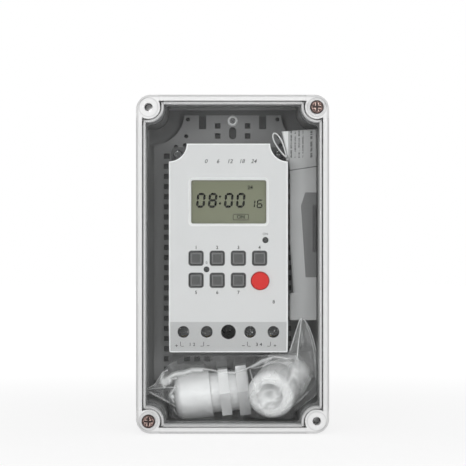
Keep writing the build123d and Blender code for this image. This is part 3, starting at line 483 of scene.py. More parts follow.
def clear_lid():
    """Clear polycarbonate with a polished window and a satin, milky rim; painted shade darkens the rim's
    outer edge and a line round each screw seat, and a half-milky band just inside the window's edge is a
    painted highlight.
    """
    paint = Paint("clear_lid")
    across, _, up = paint.millimetres()
    outside = outside_window(across, up)
    edge = outside_box(across, up, *BOX_HALF, BOX_CORNER)
    ring = abs(from_point(abs(across), abs(up), *FIXING) - SEAT_RADIUS)
    cloud = paint.noise(18)
    # Painted shade along the rim's outer edge and in a line round each screw seat
    painted_edge_shade = edge.above(-1.4, 0.8) * 0.6 + ring.below(0.3, 0.4) * 0.35
    satin = paint.principled(
        Base_Color=paint.mix(painted_edge_shade.at_most(1.0), paint.mix(cloud, grey(236), grey(244)), grey(184)),
        Roughness=uneven(0.38, (cloud, 0.1)),
        Normal=paint.bump(paint.noise(0.4), 0.006),
    )
    clear = see_through(paint, (0.985, 0.99, 0.99, 1.0), 0.35, 0.03)
    # The rim is milky; a half-milky band just inside the window's edge is a painted highlight
    milky_rim_and_highlight = outside.above(0.8, 0.4) * 0.94 + outside.within(-1.3, -0.05, 0.35) * 0.5
    return paint.done(paint.blend(milky_rim_and_highlight.at_most(1.0), clear, satin))


# The cover's terminal holes and mounting well, with the margin and depth of the shade painted in them, then
# its display
TERMINAL_X = (-29.25, -15.4, 10.4, 24.25)
TERMINAL_Z = -40.35
TERMINAL_HOLE = 3.475
WELL_HOLE = 4.35
HOLE_MARGIN = 0.2
HOLE_SHADE_DEPTH = 3.2
LCD_X = -2.3
LCD_Z = 36.9
LCD_WIDTH = 44.6
LCD_HEIGHT = 25.7
LCD_CORNER = 1.2


def timer_cover():
    """White casing with painted highlights along its edges and round the display, painted shade inside its
    holes and in the gaps round its keys, and painted shade on its sloping foot.
    """
    paint = Paint("timer_cover")
    across, height, up = paint.millimetres()
    edge = outside_cover(across, up)
    frame_edge = outside_box(across - LCD_X, up - LCD_Z, LCD_WIDTH / 2, LCD_HEIGHT / 2, LCD_CORNER)
    # Painted highlight along the cover's edges and on the display's bevel
    painted_highlight = edge.above(-0.75, 0.5).at_least(frame_edge.within(0.1, 1.5, 0.5))
    inside = from_point(across, up, COVER_X, TERMINAL_Z).below(WELL_HOLE + HOLE_MARGIN)
    for x in TERMINAL_X:
        hole = from_point(across, up, x, TERMINAL_Z).below(TERMINAL_HOLE + HOLE_MARGIN)
        inside = inside.at_least(hole)
    # Painted shade inside the terminal holes and the mounting well, below the face
    painted_shade_mask = inside * height.below(COVER_FACE - HOLE_SHADE_DEPTH, 1.0)
    # Painted shadow: a dark line in the gap round each key
    gap = outside_keys(across, up).within(-1.0, 0.38, 0.25) * 0.85
    cloud, speckle = paint.moulding_noise(20, 0.3)
    # Painted shade: the sloping foot is darker, as less light falls on it
    slope_shade = up.below(COVER_LOW[2] + SLOPE_LENGTH, 0.3)
    casing = paint.mix(slope_shade * 0.5, paint.mix(cloud, grey(216), grey(222)), grey(186))
    base = paint.mix(painted_highlight, casing, grey(255))
    return paint.done(paint.principled(
        Base_Color=paint.mix(gap, paint.mix(painted_shade_mask, base, grey(42)), grey(40)),
        Roughness=uneven(0.42, (cloud, 0.1), (speckle, 0.08)),
        Normal=paint.bump(speckle, 0.01),
    ))


def display_panel():
    """Reflective liquid crystal panel: olive, with painted light making it lighter towards its lower right.
    """
    paint = Paint("display_green")
    across, _, up = paint.millimetres()
    # Painted light: the panel grows lighter towards its lower right
    slant = (across - LCD_X) / LCD_WIDTH * 0.5 - (up - LCD_Z) / LCD_HEIGHT * 0.75 + 0.5
    sheen = paint.noise(6)
    return paint.done(paint.principled(
        Base_Color=paint.mix(slant, tint(128, 128, 107), tint(136, 136, 119)),
        Roughness=uneven(0.45, (sheen, 0.1)),
        Normal=paint.bump(paint.noise(0.3), 0.004),
    ))


def key_cap():
    """Grey keys with a painted highlight, a lighter line, round the top."""
    paint = Paint("key_grey")
    across, _, up = paint.millimetres()
    # Painted highlight: a lighter line round the top of each key
    bevel_highlight = outside_keys(across, up).within(-1.6, -1.0, 0.4)
    cloud, speckle = paint.moulding_noise()
    return paint.done(paint.principled(
        Base_Color=paint.mix(bevel_highlight * 0.6, paint.mix(cloud, grey(80), grey(86)), grey(140)),
        Roughness=uneven(0.55, (speckle, 0.1)),
        Specular_IOR_Level=0.3,
        Normal=paint.bump(speckle, 0.006),
    ))


def plate_screw_steel():
    """Grey screw heads with a painted highlight round their rim."""
    paint = Paint("plate_screw_steel")
    across, _, up = paint.millimetres()
    # Painted highlight round the rim of each head
    rim = from_point(across, abs(up), *PLATE_SCREW).above(1.9, 0.3)
    stain = paint.noise(0.9, detail=3)
    return paint.done(paint.principled(
        Base_Color=paint.mix(rim, paint.mix(stain.above(0.5, 0.2), grey(70), grey(140)), grey(240)),
        Metallic=0.4,
        Roughness=uneven(0.35, (stain, 0.2)),
        Normal=paint.bump(stain, 0.01),
    ))


def display_clear():
    """The window over the display."""
    paint = Paint("display_clear")
    return paint.done(see_through(paint, (0.96, 0.97, 0.94, 1.0), 0.12, 0.05))


def circuit_board():
    """Lacquered board: lighter copper runs under the green."""
    paint = Paint("board_green")
    track = paint.cell_edges(3.2).below(0.12, 0.05)
    return paint.done(paint.principled(
        Base_Color=paint.mix(track, tint(20, 92, 48), tint(38, 120, 66)),
        Roughness=0.35,
        Normal=paint.bump(track, 0.03),
    ))


def crumpled_film():
    """Thin bag film: clear, with painted highlights along its creases and in a few small places, milky in
    its cloudy places, whiter along its welds, and with a painted sheen where it turns away.
    """
    paint = Paint("bag_film")
    # Whiteness stored per point: painted highlights on the folds and near the tip, milky haze, and the
    # welds
    highlight_and_weld = paint.attribute("highlight_and_weld")
    away = paint.node("ShaderNodeLayerWeight", None, {"Blend": 0.35}, "Facing")
    clear = see_through(paint, (0.99, 0.99, 0.99, 1.0), 0.55, 0.14)
    white = paint.principled(
        Base_Color=grey(252),
        Roughness=uneven(0.30, (paint.noise(4), 0.1)),
    )
    cover = highlight_and_weld * 0.92 + (away ** 2.0) * 0.12 + 0.012
    return paint.done(paint.blend(cover.at_most(0.94), clear, white))


# The leaflet's print says nothing: columns of dashes, each with its place and width, a long block
# whose left edge leans and then bends, and an inner block with its left edge, foot and top
PRINT_COLUMNS = ((35.2, 0.9), (37.6, 0.9), (39.9, 0.9), (42.2, 0.7), (47.3, 1.3))
PRINT_TOP = 80.0
PRINT_FOOT = 63.5
BLOCK_TOP = 42.8
BLOCK_FOOT = -8.2
BLOCK_LEFT = 40.5
BLOCK_LEAN = 0.064
BLOCK_BEND = 34.8
BLOCK_BEND_LEAN = 0.39
INNER_BLOCK = (48.0, 7.0, 35.2)
# Its crease's left end and slope, and the rolled corner's right edge and foot
CREASE_LEFT = (34.8, 56.1)
CREASE_SLOPE = 0.15
ROLL_RIGHT = 33.4
ROLL_FOOT = 60.5


def leaflet_paper():
    """Uncoated paper, printed with columns of grey dashes and two plain dark blocks; its page is painted
    grey as paper in shade, its rolled corner is painted near white as lit paper, and its crease is painted
    dark as shade.
    """
    paint = Paint("leaflet_paper")
    across, _, up = paint.millimetres()
    fibre = paint.noise(0.6, detail=4, roughness=0.7)
    cloud = paint.noise(16)
    # Painted shade: the page is grey, as paper in shade
    shaded_page = paint.mix(cloud, grey(168), grey(184))
    dashes = paint.noise(0.8, detail=1, stretch=(0.35, 0.35, 1.6)).above(0.47, 0.06)
    columns = 0.0
    for x, width in PRINT_COLUMNS:
        columns = abs(across - x).below(width / 2, 0.2) + columns
    text = columns * dashes * up.within(PRINT_FOOT, PRINT_TOP, 0.5) * 0.8
    left = (BLOCK_TOP - up) * BLOCK_LEAN + BLOCK_LEFT + (up - BLOCK_BEND).at_least(0) * BLOCK_BEND_LEAN
    block = (across - left).above(0, 0.3) * up.within(BLOCK_FOOT, BLOCK_TOP, 0.4)
    inner = across.above(INNER_BLOCK[0], 0.3) * up.within(*INNER_BLOCK[1:], 0.4)
    # Painted shade: a dark line along the crease
    crease_shade = abs(up - CREASE_LEFT[1] - (across - CREASE_LEFT[0]) * CREASE_SLOPE).below(0.3, 0.3)
    inked = paint.mix(block, paint.mix(text, shaded_page, grey(64)), grey(112))
    inked = paint.mix(inner, inked, grey(78))
    # Painted light: the rolled corner is near white, as lit paper
    roll_light = across.below(ROLL_RIGHT, 0.6) * up.above(ROLL_FOOT, 0.5)
    inked = paint.mix(roll_light, inked, grey(238))
    return paint.done(paint.principled(
        Base_Color=paint.mix(crease_shade * 0.8, inked, grey(50)),
        Roughness=uneven(0.62, (fibre, 0.15)),
        Normal=paint.bump(fibre, 0.02),
    ))


finishes = {
    "base_moulding": base_moulding(),
    "clear_lid": clear_lid(),
    "gasket_rubber": rubber("gasket_rubber", grey(70)),
    "lid_screw_steel": lid_screw_steel(),
    "insert_brass": plated("insert_brass", tint(205, 170, 100), 0.30),
    "plate_moulding": plate_moulding(),
    "screw_steel": plated("screw_steel", grey(120), 0.30, painted_glints=0.3),
    "timer_white": timer_cover(),
    "key_grey": key_cap(),
    "button_red": moulded("button_red", tint(220, 30, 24), 0.32, grain=0.004, clouding=0.04, shine=0.25),
    "black_plastic": moulded("black_plastic", grey(34), 0.42),
    "display_clear": display_clear(),
    "display_green": display_panel(),
    "contact_rubber": rubber("contact_rubber", tint(186, 150, 166)),
    "mat_rubber": rubber("mat_rubber", grey(58)),
    "board_green": circuit_board(),
    "relay_case": moulded("relay_case", tint(34, 60, 130), 0.30, coat=0.2),
    "capacitor_case": moulded("capacitor_case", tint(178, 84, 40), 0.25, coat=0.3),
    "battery_sleeve": moulded("battery_sleeve", tint(70, 142, 84), 0.25, coat=0.2),
    "bar_brass": plated("bar_brass", tint(214, 184, 120), 0.28, stretch=(0.1, 1, 1)),
    "clamp_steel": plated("clamp_steel", grey(150), 0.34, painted_glints=0.2),
    "nylon_white": moulded("nylon_white", grey(252), 0.36, grain=0.006, clouding=0.01),
    "seal_rubber": rubber("seal_rubber", grey(250)),
    "leaflet_paper": leaflet_paper(),
    "bag_film": crumpled_film(),
}
# Painted shade: the rear housing is dark grey instead of the white of its slot, as its ears sit in shade,
# and the mounting and terminal screws, deep in their holes, are a darker steel
own_finishes = {
    "timer_rear_housing": moulded("housing_shaded_grey", grey(96), 0.45),
    "timer_mounting_screws": plated("shaded_dark_steel", grey(76), 0.40, painted_glints=0.35),
    "plate_screws": plate_screw_steel(),
}
for number in range(1, 5):
    own_finishes[f"terminal_screw_{number}"] = own_finishes["timer_mounting_screws"]

for row in frame["record"]["subparts"]:
    for place in nodes[row["node"]].material_slots:
        place.material = own_finishes.get(row["node"], finishes[row["material_slot"]])


# Helpers for new pieces. Printed ink stands this far off its face.
INK_DEPTH = 0.04


def make_piece(name, shape, finish, body="root", stands_for=(), smooth=False):
    """Makes a shape in metres a piece of the object, which rides on a body."""
    mesh = bpy.data.meshes.new(name)
    shape.to_mesh(mesh)
    shape.free()
    if smooth:
        mesh.shade_smooth()
    mesh.materials.append(finish)
    made = bpy.data.objects.new(name, mesh)
    bpy.context.scene.collection.objects.link(made)
    if stands_for:
        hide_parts(*stands_for)
    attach(made, body)


def lying_on(across, height, up, lean=0.0):
    """Lays an outline drawn on XY on a face that looks to the front, its foot leaning in."""
    return Matrix.Translation(spot(across, height, up)) @ Matrix.Rotation(math.pi / 2 + lean, 4, "X")


def raise_faces(shape, faces, depth):
    """Closes a solid over flat faces, depth millimetres thick, and gives its new corners."""
    top = bmesh.ops.extrude_face_region(shape, geom=faces)["geom"]
    raised = [part for part in top if isinstance(part, bmesh.types.BMVert)]
    bmesh.ops.translate(shape, verts=raised, vec=(0, 0, depth * MM))
    for face in faces:
        face.normal_flip()
    return raised


def add_bar(shape, start, end, breadth, depth, where):
    """A straight bar with pointed ends, as in a seven-segment figure."""
    start, end = Vector(start), Vector(end)
    way = (end - start).normalized()
    side = Vector((-way.y, way.x)) * breadth / 2
    shoulder = way * breadth / 2
    outline = (start, start + shoulder - side, end - shoulder - side,
               end, end - shoulder + side, start + shoulder + side)
    face = shape.faces.new([shape.verts.new((p.x * MM, p.y * MM, 0)) for p in outline])
    raised = raise_faces(shape, [face], depth)
    bmesh.ops.transform(shape, matrix=where, verts=[*face.verts, *raised])


def add_writing(shape, words, size, where, weight, slant=0.0, depth=INK_DEPTH):
    """Plain figures as thin closed solids, centred on their place."""
    curve = bpy.data.curves.new("figures", "FONT")
    curve.body = words
    curve.size = size * MM
    curve.shear = slant
    curve.offset = weight * MM
    curve.align_x = "CENTER"
    curve.align_y = "CENTER"
    curve.resolution_u = 3
    curve.extrude = depth / 2 * MM
    holder = bpy.data.objects.new("figures", curve)
    bpy.context.scene.collection.objects.link(holder)
    depsgraph = bpy.context.evaluated_depsgraph_get()
    mesh = bpy.data.meshes.new_from_object(holder.evaluated_get(depsgraph))
    mesh.transform(where @ Matrix.Translation((0, 0, depth / 2 * MM)))
    shape.from_mesh(mesh)
    bpy.data.objects.remove(holder)
    bpy.data.curves.remove(curve)
    bpy.data.meshes.remove(mesh)


def joined(shape):
    """Joins the edges that a piece of writing leaves apart."""
    bmesh.ops.remove_doubles(shape, verts=shape.verts, dist=0.002 * MM)
    bmesh.ops.recalc_face_normals(shape, faces=shape.faces)
    return shape


# Display figures, on the face of the liquid crystal panel
PANEL_FACE = node_span("display_panel")[1][1]
FIGURE_DEPTH = 0.08
FIGURE_SLANT = 0.095
SEGMENT_GAP = 0.08
SEGMENT_ENDS = {
    "a": ((0, 2), (1, 2)),
    "b": ((1, 1), (1, 2)),
    "c": ((1, 0), (1, 1)),
    "d": ((0, 0), (1, 0)),
    "e": ((0, 0), (0, 1)),
    "f": ((0, 1), (0, 2)),
    "g": ((0, 1), (1, 1)),
}
LIT = {"0": "abcdef", "1": "bc", "6": "acdefg", "8": "abcdefg"}
# Rows of segment figures: what they show, their left edges, then foot, width, height and stroke
SEGMENT_ROWS = (
    ("0800", (-21.9, -14.9, -5.3, 1.8), 33.4, 5.2, 8.9, 1.4),
    ("16", (9.8, 14.2), 33.2, 3.4, 5.1, 0.7),
)
COLON_X = -7.5
COLON_ROWS = (36.0, 40.1)
COLON_HALF = 0.85
COLON_STROKE = 1.5
# A small framed word, and its frame's half width, half height, corner radius and line
FRAMED_WORD = (4.9, 27.9)
WORD_FRAME = (4.8, 1.85, 1.0, 0.3)
LAST_HOUR = (10.4, 45.4)


def add_segments(shape, figure, left, foot, width, height, breadth):
    """One slanted seven-segment figure, its lower left corner on the panel at left and foot."""
    lean = Matrix(((1, FIGURE_SLANT, 0, 0), (0, 1, 0, 0), (0, 0, 1, 0), (0, 0, 0, 1)))
    where = lying_on(left, PANEL_FACE, foot) @ lean
    inner_width = width - breadth
    inner_height = height - breadth
    gap = breadth * SEGMENT_GAP
    for letter in LIT[figure]:
        start, end = (Vector((x * inner_width + breadth / 2, y / 2 * inner_height + breadth / 2))
                      for x, y in SEGMENT_ENDS[letter])
        way = (end - start).normalized() * gap
        add_bar(shape, start + way, end - way, breadth, FIGURE_DEPTH, where)


def add_outline(shape, half_width, half_height, radius, breadth, where):
    """A thin rounded frame."""
    steps = 24
    turned = Matrix.Rotation(math.pi / steps, 4, "Z")
    made = bmesh.ops.create_circle(shape, cap_ends=True, segments=steps, radius=radius * MM,
                                   matrix=turned)["verts"]
    for vert in made:
        vert.co.x += math.copysign((half_width - radius) * MM, vert.co.x)
        vert.co.y += math.copysign((half_height - radius) * MM, vert.co.y)
    face = made[0].link_faces[0]
    rim = bmesh.ops.inset_region(shape, faces=[face], thickness=breadth * MM, use_boundary=True)["faces"]
    bmesh.ops.delete(shape, geom=[face], context="FACES_ONLY")
    raised = raise_faces(shape, rim, FIGURE_DEPTH)
    flat = {vert for part in rim for vert in part.verts}
    bmesh.ops.transform(shape, matrix=where, verts=[*flat, *raised])


def display_figures():
    shape = bmesh.new()
    for figures, left_edges, *measures in SEGMENT_ROWS:
        for figure, left in zip(figures, left_edges):
            add_segments(shape, figure, left, *measures)
    for up in COLON_ROWS:
        place = lying_on(COLON_X, PANEL_FACE, up)
        add_bar(shape, (-COLON_HALF, 0), (COLON_HALF, 0), COLON_STROKE, FIGURE_DEPTH, place)
    framed = lying_on(FRAMED_WORD[0], PANEL_FACE, FRAMED_WORD[1])
    add_outline(shape, *WORD_FRAME, framed)
    add_writing(shape, "ON", 3.0, framed, weight=0.05, depth=FIGURE_DEPTH)
    last_hour = lying_on(LAST_HOUR[0], PANEL_FACE, LAST_HOUR[1])
    add_writing(shape, "24", 3.2, last_hour, weight=0.09, depth=FIGURE_DEPTH)
    return joined(shape)


lcd_black = moulded("lcd_black", grey(5), 0.7, shine=0.1)
make_piece("display_figures", display_figures(), lcd_black)


# Plain numbers and words printed on the timer's cover
DIAL = ("0", "6", "12", "18", "24")
DIAL_LEFT = -15.9
DIAL_PITCH = 7.1
DIAL_UP = 60.9
KEY_FIGURES = (("1234", 9.7), ("567", -17.0))
# What they say, across, up, size and weight
COVER_WORDS = (
    *((figure, x, up, 2.8, 0.05) for figures, up in KEY_FIGURES for figure, x in zip(figures, KEY_X)),
    ("8", 24.4, -22.6, 2.8, 0.05),
    ("0", -15.5, 0.7, 2.2, 0.0),
    ("ON", 19.4, 17.8, 2.0, 0.0),
)


def cover_figures():
    shape = bmesh.new()
    for number, hour in enumerate(DIAL):
        place = lying_on(DIAL_LEFT + number * DIAL_PITCH, COVER_FACE, DIAL_UP)
        add_writing(shape, hour, 3.3, place, slant=0.25, weight=0.03)
    for words, across, up, size, weight in COVER_WORDS:
        add_writing(shape, words, size, lying_on(across, COVER_FACE, up), weight=weight)
    return joined(shape)


def slope_height(up):
    """The sloping face's height in front of the wall."""
    return COVER_FACE - (COVER_LOW[2] + SLOPE_LENGTH - up) * SLOPE_DROP / SLOPE_LENGTH


def on_slope(across, up):
    return lying_on(across, slope_height(up), up, SLOPE_LEAN)


# Under each pair of terminals: its signs, its numbers, and how far across it starts
TERMINAL_PAIRS = (("+−", "1 2", -33.5), ("−+", "3 4", 6.4))
PAIR_MIDDLE = 9.3
LAST_SIGN = 9.6
SIGN_UP = -49.0
NUMBER_UP = -48.2
TERMINAL_FIGURE_SIZE = 3.0
# Corner lines on both sides of the numbers: their height, and their foot's two ends
CORNER_UP = -49.2
CORNER_APART = 6.9
CORNER_HEIGHT = 3.0
CORNER_FOOT = (0.22, 2.0)
LINE_BREADTH = 0.3


def terminal_figures():
    """Signs, numbers and corner lines under the terminals, on the sloping face."""
    shape = bmesh.new()
    for (first_sign, last_sign), numbers, left in TERMINAL_PAIRS:
        middle = left + PAIR_MIDDLE
        figures = ((first_sign, on_slope(left, SIGN_UP), 0.06),
                   (last_sign, on_slope(middle + LAST_SIGN, SIGN_UP), 0.06),
                   (numbers, on_slope(middle, NUMBER_UP), 0.04))
        for words, place, weight in figures:
            add_writing(shape, words, TERMINAL_FIGURE_SIZE, place, weight)
        for side in (-1, 1):
            place = on_slope(middle + side * CORNER_APART, CORNER_UP)
            foot = [(-side * end, 0) for end in CORNER_FOOT]
            add_bar(shape, (0, 0), (0, CORNER_HEIGHT), LINE_BREADTH, INK_DEPTH, place)
            add_bar(shape, *foot, LINE_BREADTH, INK_DEPTH, place)
    return joined(shape)


ink = moulded("cover_ink", grey(70), 0.6, grain=0.002, shine=0.2)
make_piece("cover_figures", cover_figures(), ink)
make_piece("terminal_figures", terminal_figures(), ink)


# Leaflet: a sheet folded narrow, its upper left corner rolled over beside the timer
LEAFLET_LOW, LEAFLET_HIGH = node_span("leaflet")
PAPER = 0.3
ROLLED_PAPER = 0.75
# Its left edge: up, then across
LEAFLET_LEFT = ((-34.0, 34.3), (-17.8, 34.3), (-17.6, 36.4), (13.0, 34.4),
                (57.0, 34.4), (61.5, 33.7), (80.0, 29.3))
LEAFLET_RIGHT = LEAFLET_HIGH[0] - 0.2
LEAFLET_TOP = LEAFLET_HIGH[2] - 1.8
PAGE_BACK = LEAFLET_LOW[1] + 0.6
PAGE_FRONT = LEAFLET_HIGH[1] - 1.0
PAGE_BELLY = 0.7
# Shares of the strip between which it turns round from back to front
FOLD_FROM, FOLD_TO = 0.42, 0.58
CREASE_DEPTH = 0.8
CREASE_REACH = 2.5
# The page's edge rises to the right, more and more over the upper share of its height
LEAFLET_LEAN = 0.07
LEAN_FROM = 0.7
LEAN_OVER = 0.3
# The rolled corner is a drop-shaped loop from its foot to its crown
LOOP_FOOT = (33.2, 62.2)
LOOP_CROWN = (24.6, 78.6)
LOOP_HALF_WIDTH = 3.3
LOOP_POINT = 1.2
LOOP_DEPTH = 4.2


def reading(profile, at):
    """A profile's value at one place, along straight lines between its points."""
    return float(np.interp(at, *zip(*profile)))


def add_sheet(shape, columns, rows, place, thickness):
    """A sheet of paper: a grid put where place says, from 0 to 1 each way, then thickened."""
    grid = bmesh.ops.create_grid(shape, x_segments=columns, y_segments=rows, size=0.5)["verts"]
    for vert in grid:
        vert.co = place(vert.co.x + 0.5, vert.co.y + 0.5)
    faces = list(dict.fromkeys(face for vert in grid for face in vert.link_faces))
    bmesh.ops.recalc_face_normals(shape, faces=faces)
    bmesh.ops.solidify(shape, geom=faces, thickness=thickness * MM)


def folded_page(round_share, up_share):
    """Back ply, left fold and front ply of the leaflet in one strip."""
    radius = (PAGE_FRONT - PAGE_BACK) / 2
    up = LEAFLET_LOW[2] + up_share * (LEAFLET_TOP - LEAFLET_LOW[2])
    left = reading(LEAFLET_LEFT, up)
    length = LEAFLET_RIGHT - left - radius
    if round_share < FOLD_FROM:
        across = LEAFLET_RIGHT - round_share / FOLD_FROM * length
        height = PAGE_BACK
    elif round_share > FOLD_TO:
        share = (round_share - FOLD_TO) / (1 - FOLD_TO)
        across = left + radius + share * length
        height = PAGE_FRONT + PAGE_BELLY * math.sin(share * math.pi)
    else:
        turn = (round_share - FOLD_FROM) / (FOLD_TO - FOLD_FROM) * math.pi
        across = left + radius * (1 - math.sin(turn))
        height = PAGE_BACK + radius * (1 - math.cos(turn))
    if round_share > 0.5:
        from_crease = up - CREASE_LEFT[1] - (across - CREASE_LEFT[0]) * CREASE_SLOPE
        height -= CREASE_DEPTH * math.exp(-(from_crease / CREASE_REACH) ** 2)
    lean = (across - left) * LEAFLET_LEAN * max(0.0, up_share - LEAN_FROM) / LEAN_OVER
    return spot(across, height, up + lean)


def rolled_corner(round_share, depth_share):
    """The corner that rolls back on itself, as a drop-shaped loop seen from its end."""
    foot = Vector(LOOP_FOOT)
    axis = (Vector(LOOP_CROWN) - foot) / 2
    side = Vector((axis.y, -axis.x)).normalized() * LOOP_HALF_WIDTH
    turn = round_share * 2 * math.pi
    aside = side * math.sin(turn) * math.sin(turn / 2) ** LOOP_POINT
    place = foot + axis * (1 - math.cos(turn)) + aside
    return spot(place.x, LEAFLET_LOW[1] + PAPER + depth_share * LOOP_DEPTH, place.y)


def leaflet():
    shape = bmesh.new()
    add_sheet(shape, 60, 150, folded_page, PAPER)
    add_sheet(shape, 60, 6, rolled_corner, ROLLED_PAPER)
    return shape


make_piece("folded_leaflet", leaflet(), finishes["leaflet_paper"],
           stands_for=["leaflet"], smooth=True)


# Bag: a pouch of thin film drawn over the two glands. Its top and foot are given as places
# across and up, its weld as places across and heights in front of the wall.
BAG_TOP = ((-53.2, -76.2), (-47.0, -72.8), (-42.3, -65.2), (-38.5, -61.0), (-29.0, -56.6), (6.5, -56.2),
           (16.0, -55.5), (25.0, -54.3), (33.3, -54.1), (34.8, -49.5), (37.6, -40.5), (39.8, -33.8),
           (41.2, -32.4), (43.5, -33.6), (46.2, -38.0), (48.6, -44.5), (50.3, -52.0))
BAG_FOOT = ((-53.2, -77.2), (-38.5, -84.7), (-36.6, -93.5), (-33.0, -96.2), (6.5, -96.2), (9.0, -93.4),
            (35.0, -93.4), (37.5, -88.8), (50.3, -78.8))
BAG_WELD = ((-53.2, 34.0), (-47.0, 42.0), (-40.0, 41.0), (-33.0, 30.0), (6.0, 29.0), (16.0, 44.0),
            (34.8, 50.0), (50.3, 50.0))
BAG_BACK = 11.9
TIP = (-53.2, -76.7)
PEAK = (41.2, -32.4)
COLUMNS = 330
ROWS = 138
SHRINK_STEPS = 1200
# Rays to the glands start this many metres out, and the film stays this far off the glands
RAY_START = 0.08
FILM_GAP = 0.35
# Creases fade out over this many rows at the weld, and are lower on the back wall
LIFT_ROWS = 8
BACK_LIFT = 0.3
WELD_ROWS = 2
WELD_WHITE = 0.3
# Pleats that fan out from a point: their number, length, width, noise seed and reach
TIP_PLEATS = (14, 22, 2.2, 3.0, 13)
PEAK_PLEATS = (12, 24, 2.0, 8.0, 18)
# Sharp folds: half width, whiteness of their painted highlight, then places across and up
FOLDS = (
    (0.32, 0.95, ((-53.2, -76.7), (-47.2, -73.3), (-42.9, -66.2), (-39.7, -64.8))),
    (0.30, 0.90, ((-53.2, -76.7), (-43.0, -75.2), (-34.9, -74.7))),
    (0.30, 0.85, ((-53.2, -76.7), (-43.0, -81.3), (-38.0, -84.2), (-34.7, -86.2))),
    (0.85, 0.85, ((-42.4, -66.4), (-43.4, -70.8), (-41.3, -75.0))),
    (0.45, 0.80, ((-41.3, -75.0), (-37.2, -70.0), (-33.9, -69.4))),
    (0.80, 0.75, ((-34.7, -74.7), (-38.0, -79.6), (-35.6, -83.5))),
    (1.25, 1.00, ((-40.5, -70.0), (-34.7, -67.1), (-28.9, -66.3), (-24.7, -64.8), (-18.9, -64.8))),
    (0.40, 0.80, ((-18.9, -64.0), (-14.0, -64.5), (-7.3, -65.6), (0.2, -66.1), (4.3, -65.0))),
    (0.38, 0.95, ((4.3, -65.0), (10.1, -62.6), (14.3, -60.3), (17.6, -58.0), (25.1, -55.8), (34.6, -56.9))),
    (0.90, 0.75, ((11.5, -62.2), (17.6, -58.8), (23.0, -56.6))),
    (0.30, 0.60, ((12.6, -62.8), (17.6, -61.5), (24.2, -58.4), (30.9, -57.0), (34.6, -58.5))),
    (0.30, 0.95, ((34.4, -52.5), (37.8, -41.0), (39.9, -34.2), (41.2, -32.6), (43.4, -33.9))),
    (0.30, 0.90, ((43.4, -33.9), (46.0, -38.4), (48.3, -44.8), (50.0, -52.0))),
    (0.30, 0.95, ((41.2, -32.6), (40.2, -41.4), (39.3, -48.0), (38.5, -55.0))),
    (0.45, 0.55, ((43.7, -35.6), (46.6, -43.0), (48.6, -51.3), (49.6, -60.0))),
    (0.50, 0.60, ((36.3, -60.5), (34.2, -67.9), (33.4, -72.1))),
    (0.60, 0.60, ((15.5, -84.5), (18.8, -88.4), (21.7, -93.0))),
    (0.50, 0.50, ((45.0, -76.7), (40.8, -81.2), (35.8, -84.5), (29.2, -88.0))),
    (0.35, 0.60, ((10.5, -63.8), (12.6, -72.1), (14.7, -78.7), (16.0, -84.0))),
    (0.35, 0.50, ((-35.5, -88.0), (-33.4, -92.0), (-28.9, -94.2), (-12.3, -94.6))),
)
FOLD_RISE = 0.7
# Cloudy places: across, up, radius and whiteness; they are milky haze, and the small ones near the tip are
# painted highlights
CLOUDS = (
    (30.8, -71.0, 13.0, 0.34),
    (20.5, -79.5, 8.5, 0.95),
    (40.0, -64.0, 6.0, 0.50),
    (35.0, -70.0, 6.0, 0.42),
    (41.5, -44.0, 7.0, 0.22),
    (-45.0, -74.5, 5.0, 0.30),
    (-41.6, -71.6, 2.0, 1.70),
    (-38.6, -70.4, 1.8, 1.30),
    (-36.6, -80.6, 1.6, 1.50),
)
GLAND_PIECES = [name for name in nodes if name.startswith("gland_")]


def glands_surface():
    """All gland pieces as one surface that rays can meet."""
    verts, faces = [], []
    for name in GLAND_PIECES:
        mesh = nodes[name].data
        faces += [[i + len(verts) for i in polygon.vertices] for polygon in mesh.polygons]
        verts += [v.co for v in mesh.vertices]
    return BVHTree.FromPolygons(verts, faces)


def ridge(x, z, size, seed):
    """Noise from 0 to 1 that rises to sharp crests."""
    return 1 - abs(noise.noise(Vector((x / size, z / size, seed)))) * 2


def fold_lines(across, up):
    """How much painted highlight and how much height the sharp folds give each place of the film."""
    crest_highlight = np.zeros(across.shape)
    rise = np.zeros(across.shape)
    for half_width, white, places in FOLDS:
        apart = np.full(across.shape, np.inf)
        for (x1, z1), (x2, z2) in zip(places, places[1:]):
            run = ((across - x1) * (x2 - x1) + (up - z1) * (z2 - z1)) / ((x2 - x1) ** 2 + (z2 - z1) ** 2)
            run = np.clip(run, 0, 1)
            from_line = np.hypot(across - x1 - run * (x2 - x1), up - z1 - run * (z2 - z1))
            apart = np.minimum(apart, from_line)
        crest_highlight = np.maximum(crest_highlight, white * np.exp(-(apart / half_width) ** 2))
        rise = np.maximum(rise, FOLD_RISE * np.exp(-apart / (half_width * 3)))
    return crest_highlight, rise


def pleats(x, z, point, number, length, width, seed, reach):
    """Creases that fan out from a point of the film, and how near to it a place is."""
    apart = math.dist((x, z), point)
    fan = ridge(math.atan2(z - point[1], x - point[0]) * number, apart / length, width, seed)
    return fan, math.exp(-(apart / reach) ** 2)


def crinkle(x, z):
    """Soft creases: how far the film stands up at one place, and how streaky its clouds are."""
    fan, near_tip = pleats(x, z, TIP, *TIP_PLEATS)
    pull, near_peak = pleats(x, z, PEAK, *PEAK_PLEATS)
    fine = ridge(x + 4 * noise.noise(Vector((x / 9, z / 9, 1.5))), z, 4.5, 5.0)
    broad = ridge(x, z, 13.0, 12.0)
    rise = 0.16 * fine ** 2 + 0.8 * broad ** 3 + 1.5 * near_tip * fan ** 2 + 1.2 * near_peak * pull ** 3
    streaks = max(fine * 0.5 + broad * 0.5, near_tip * fan ** 3 * 1.6, near_peak * pull ** 3 * 1.5)
    return rise, min(1.0, max(0.0, streaks))


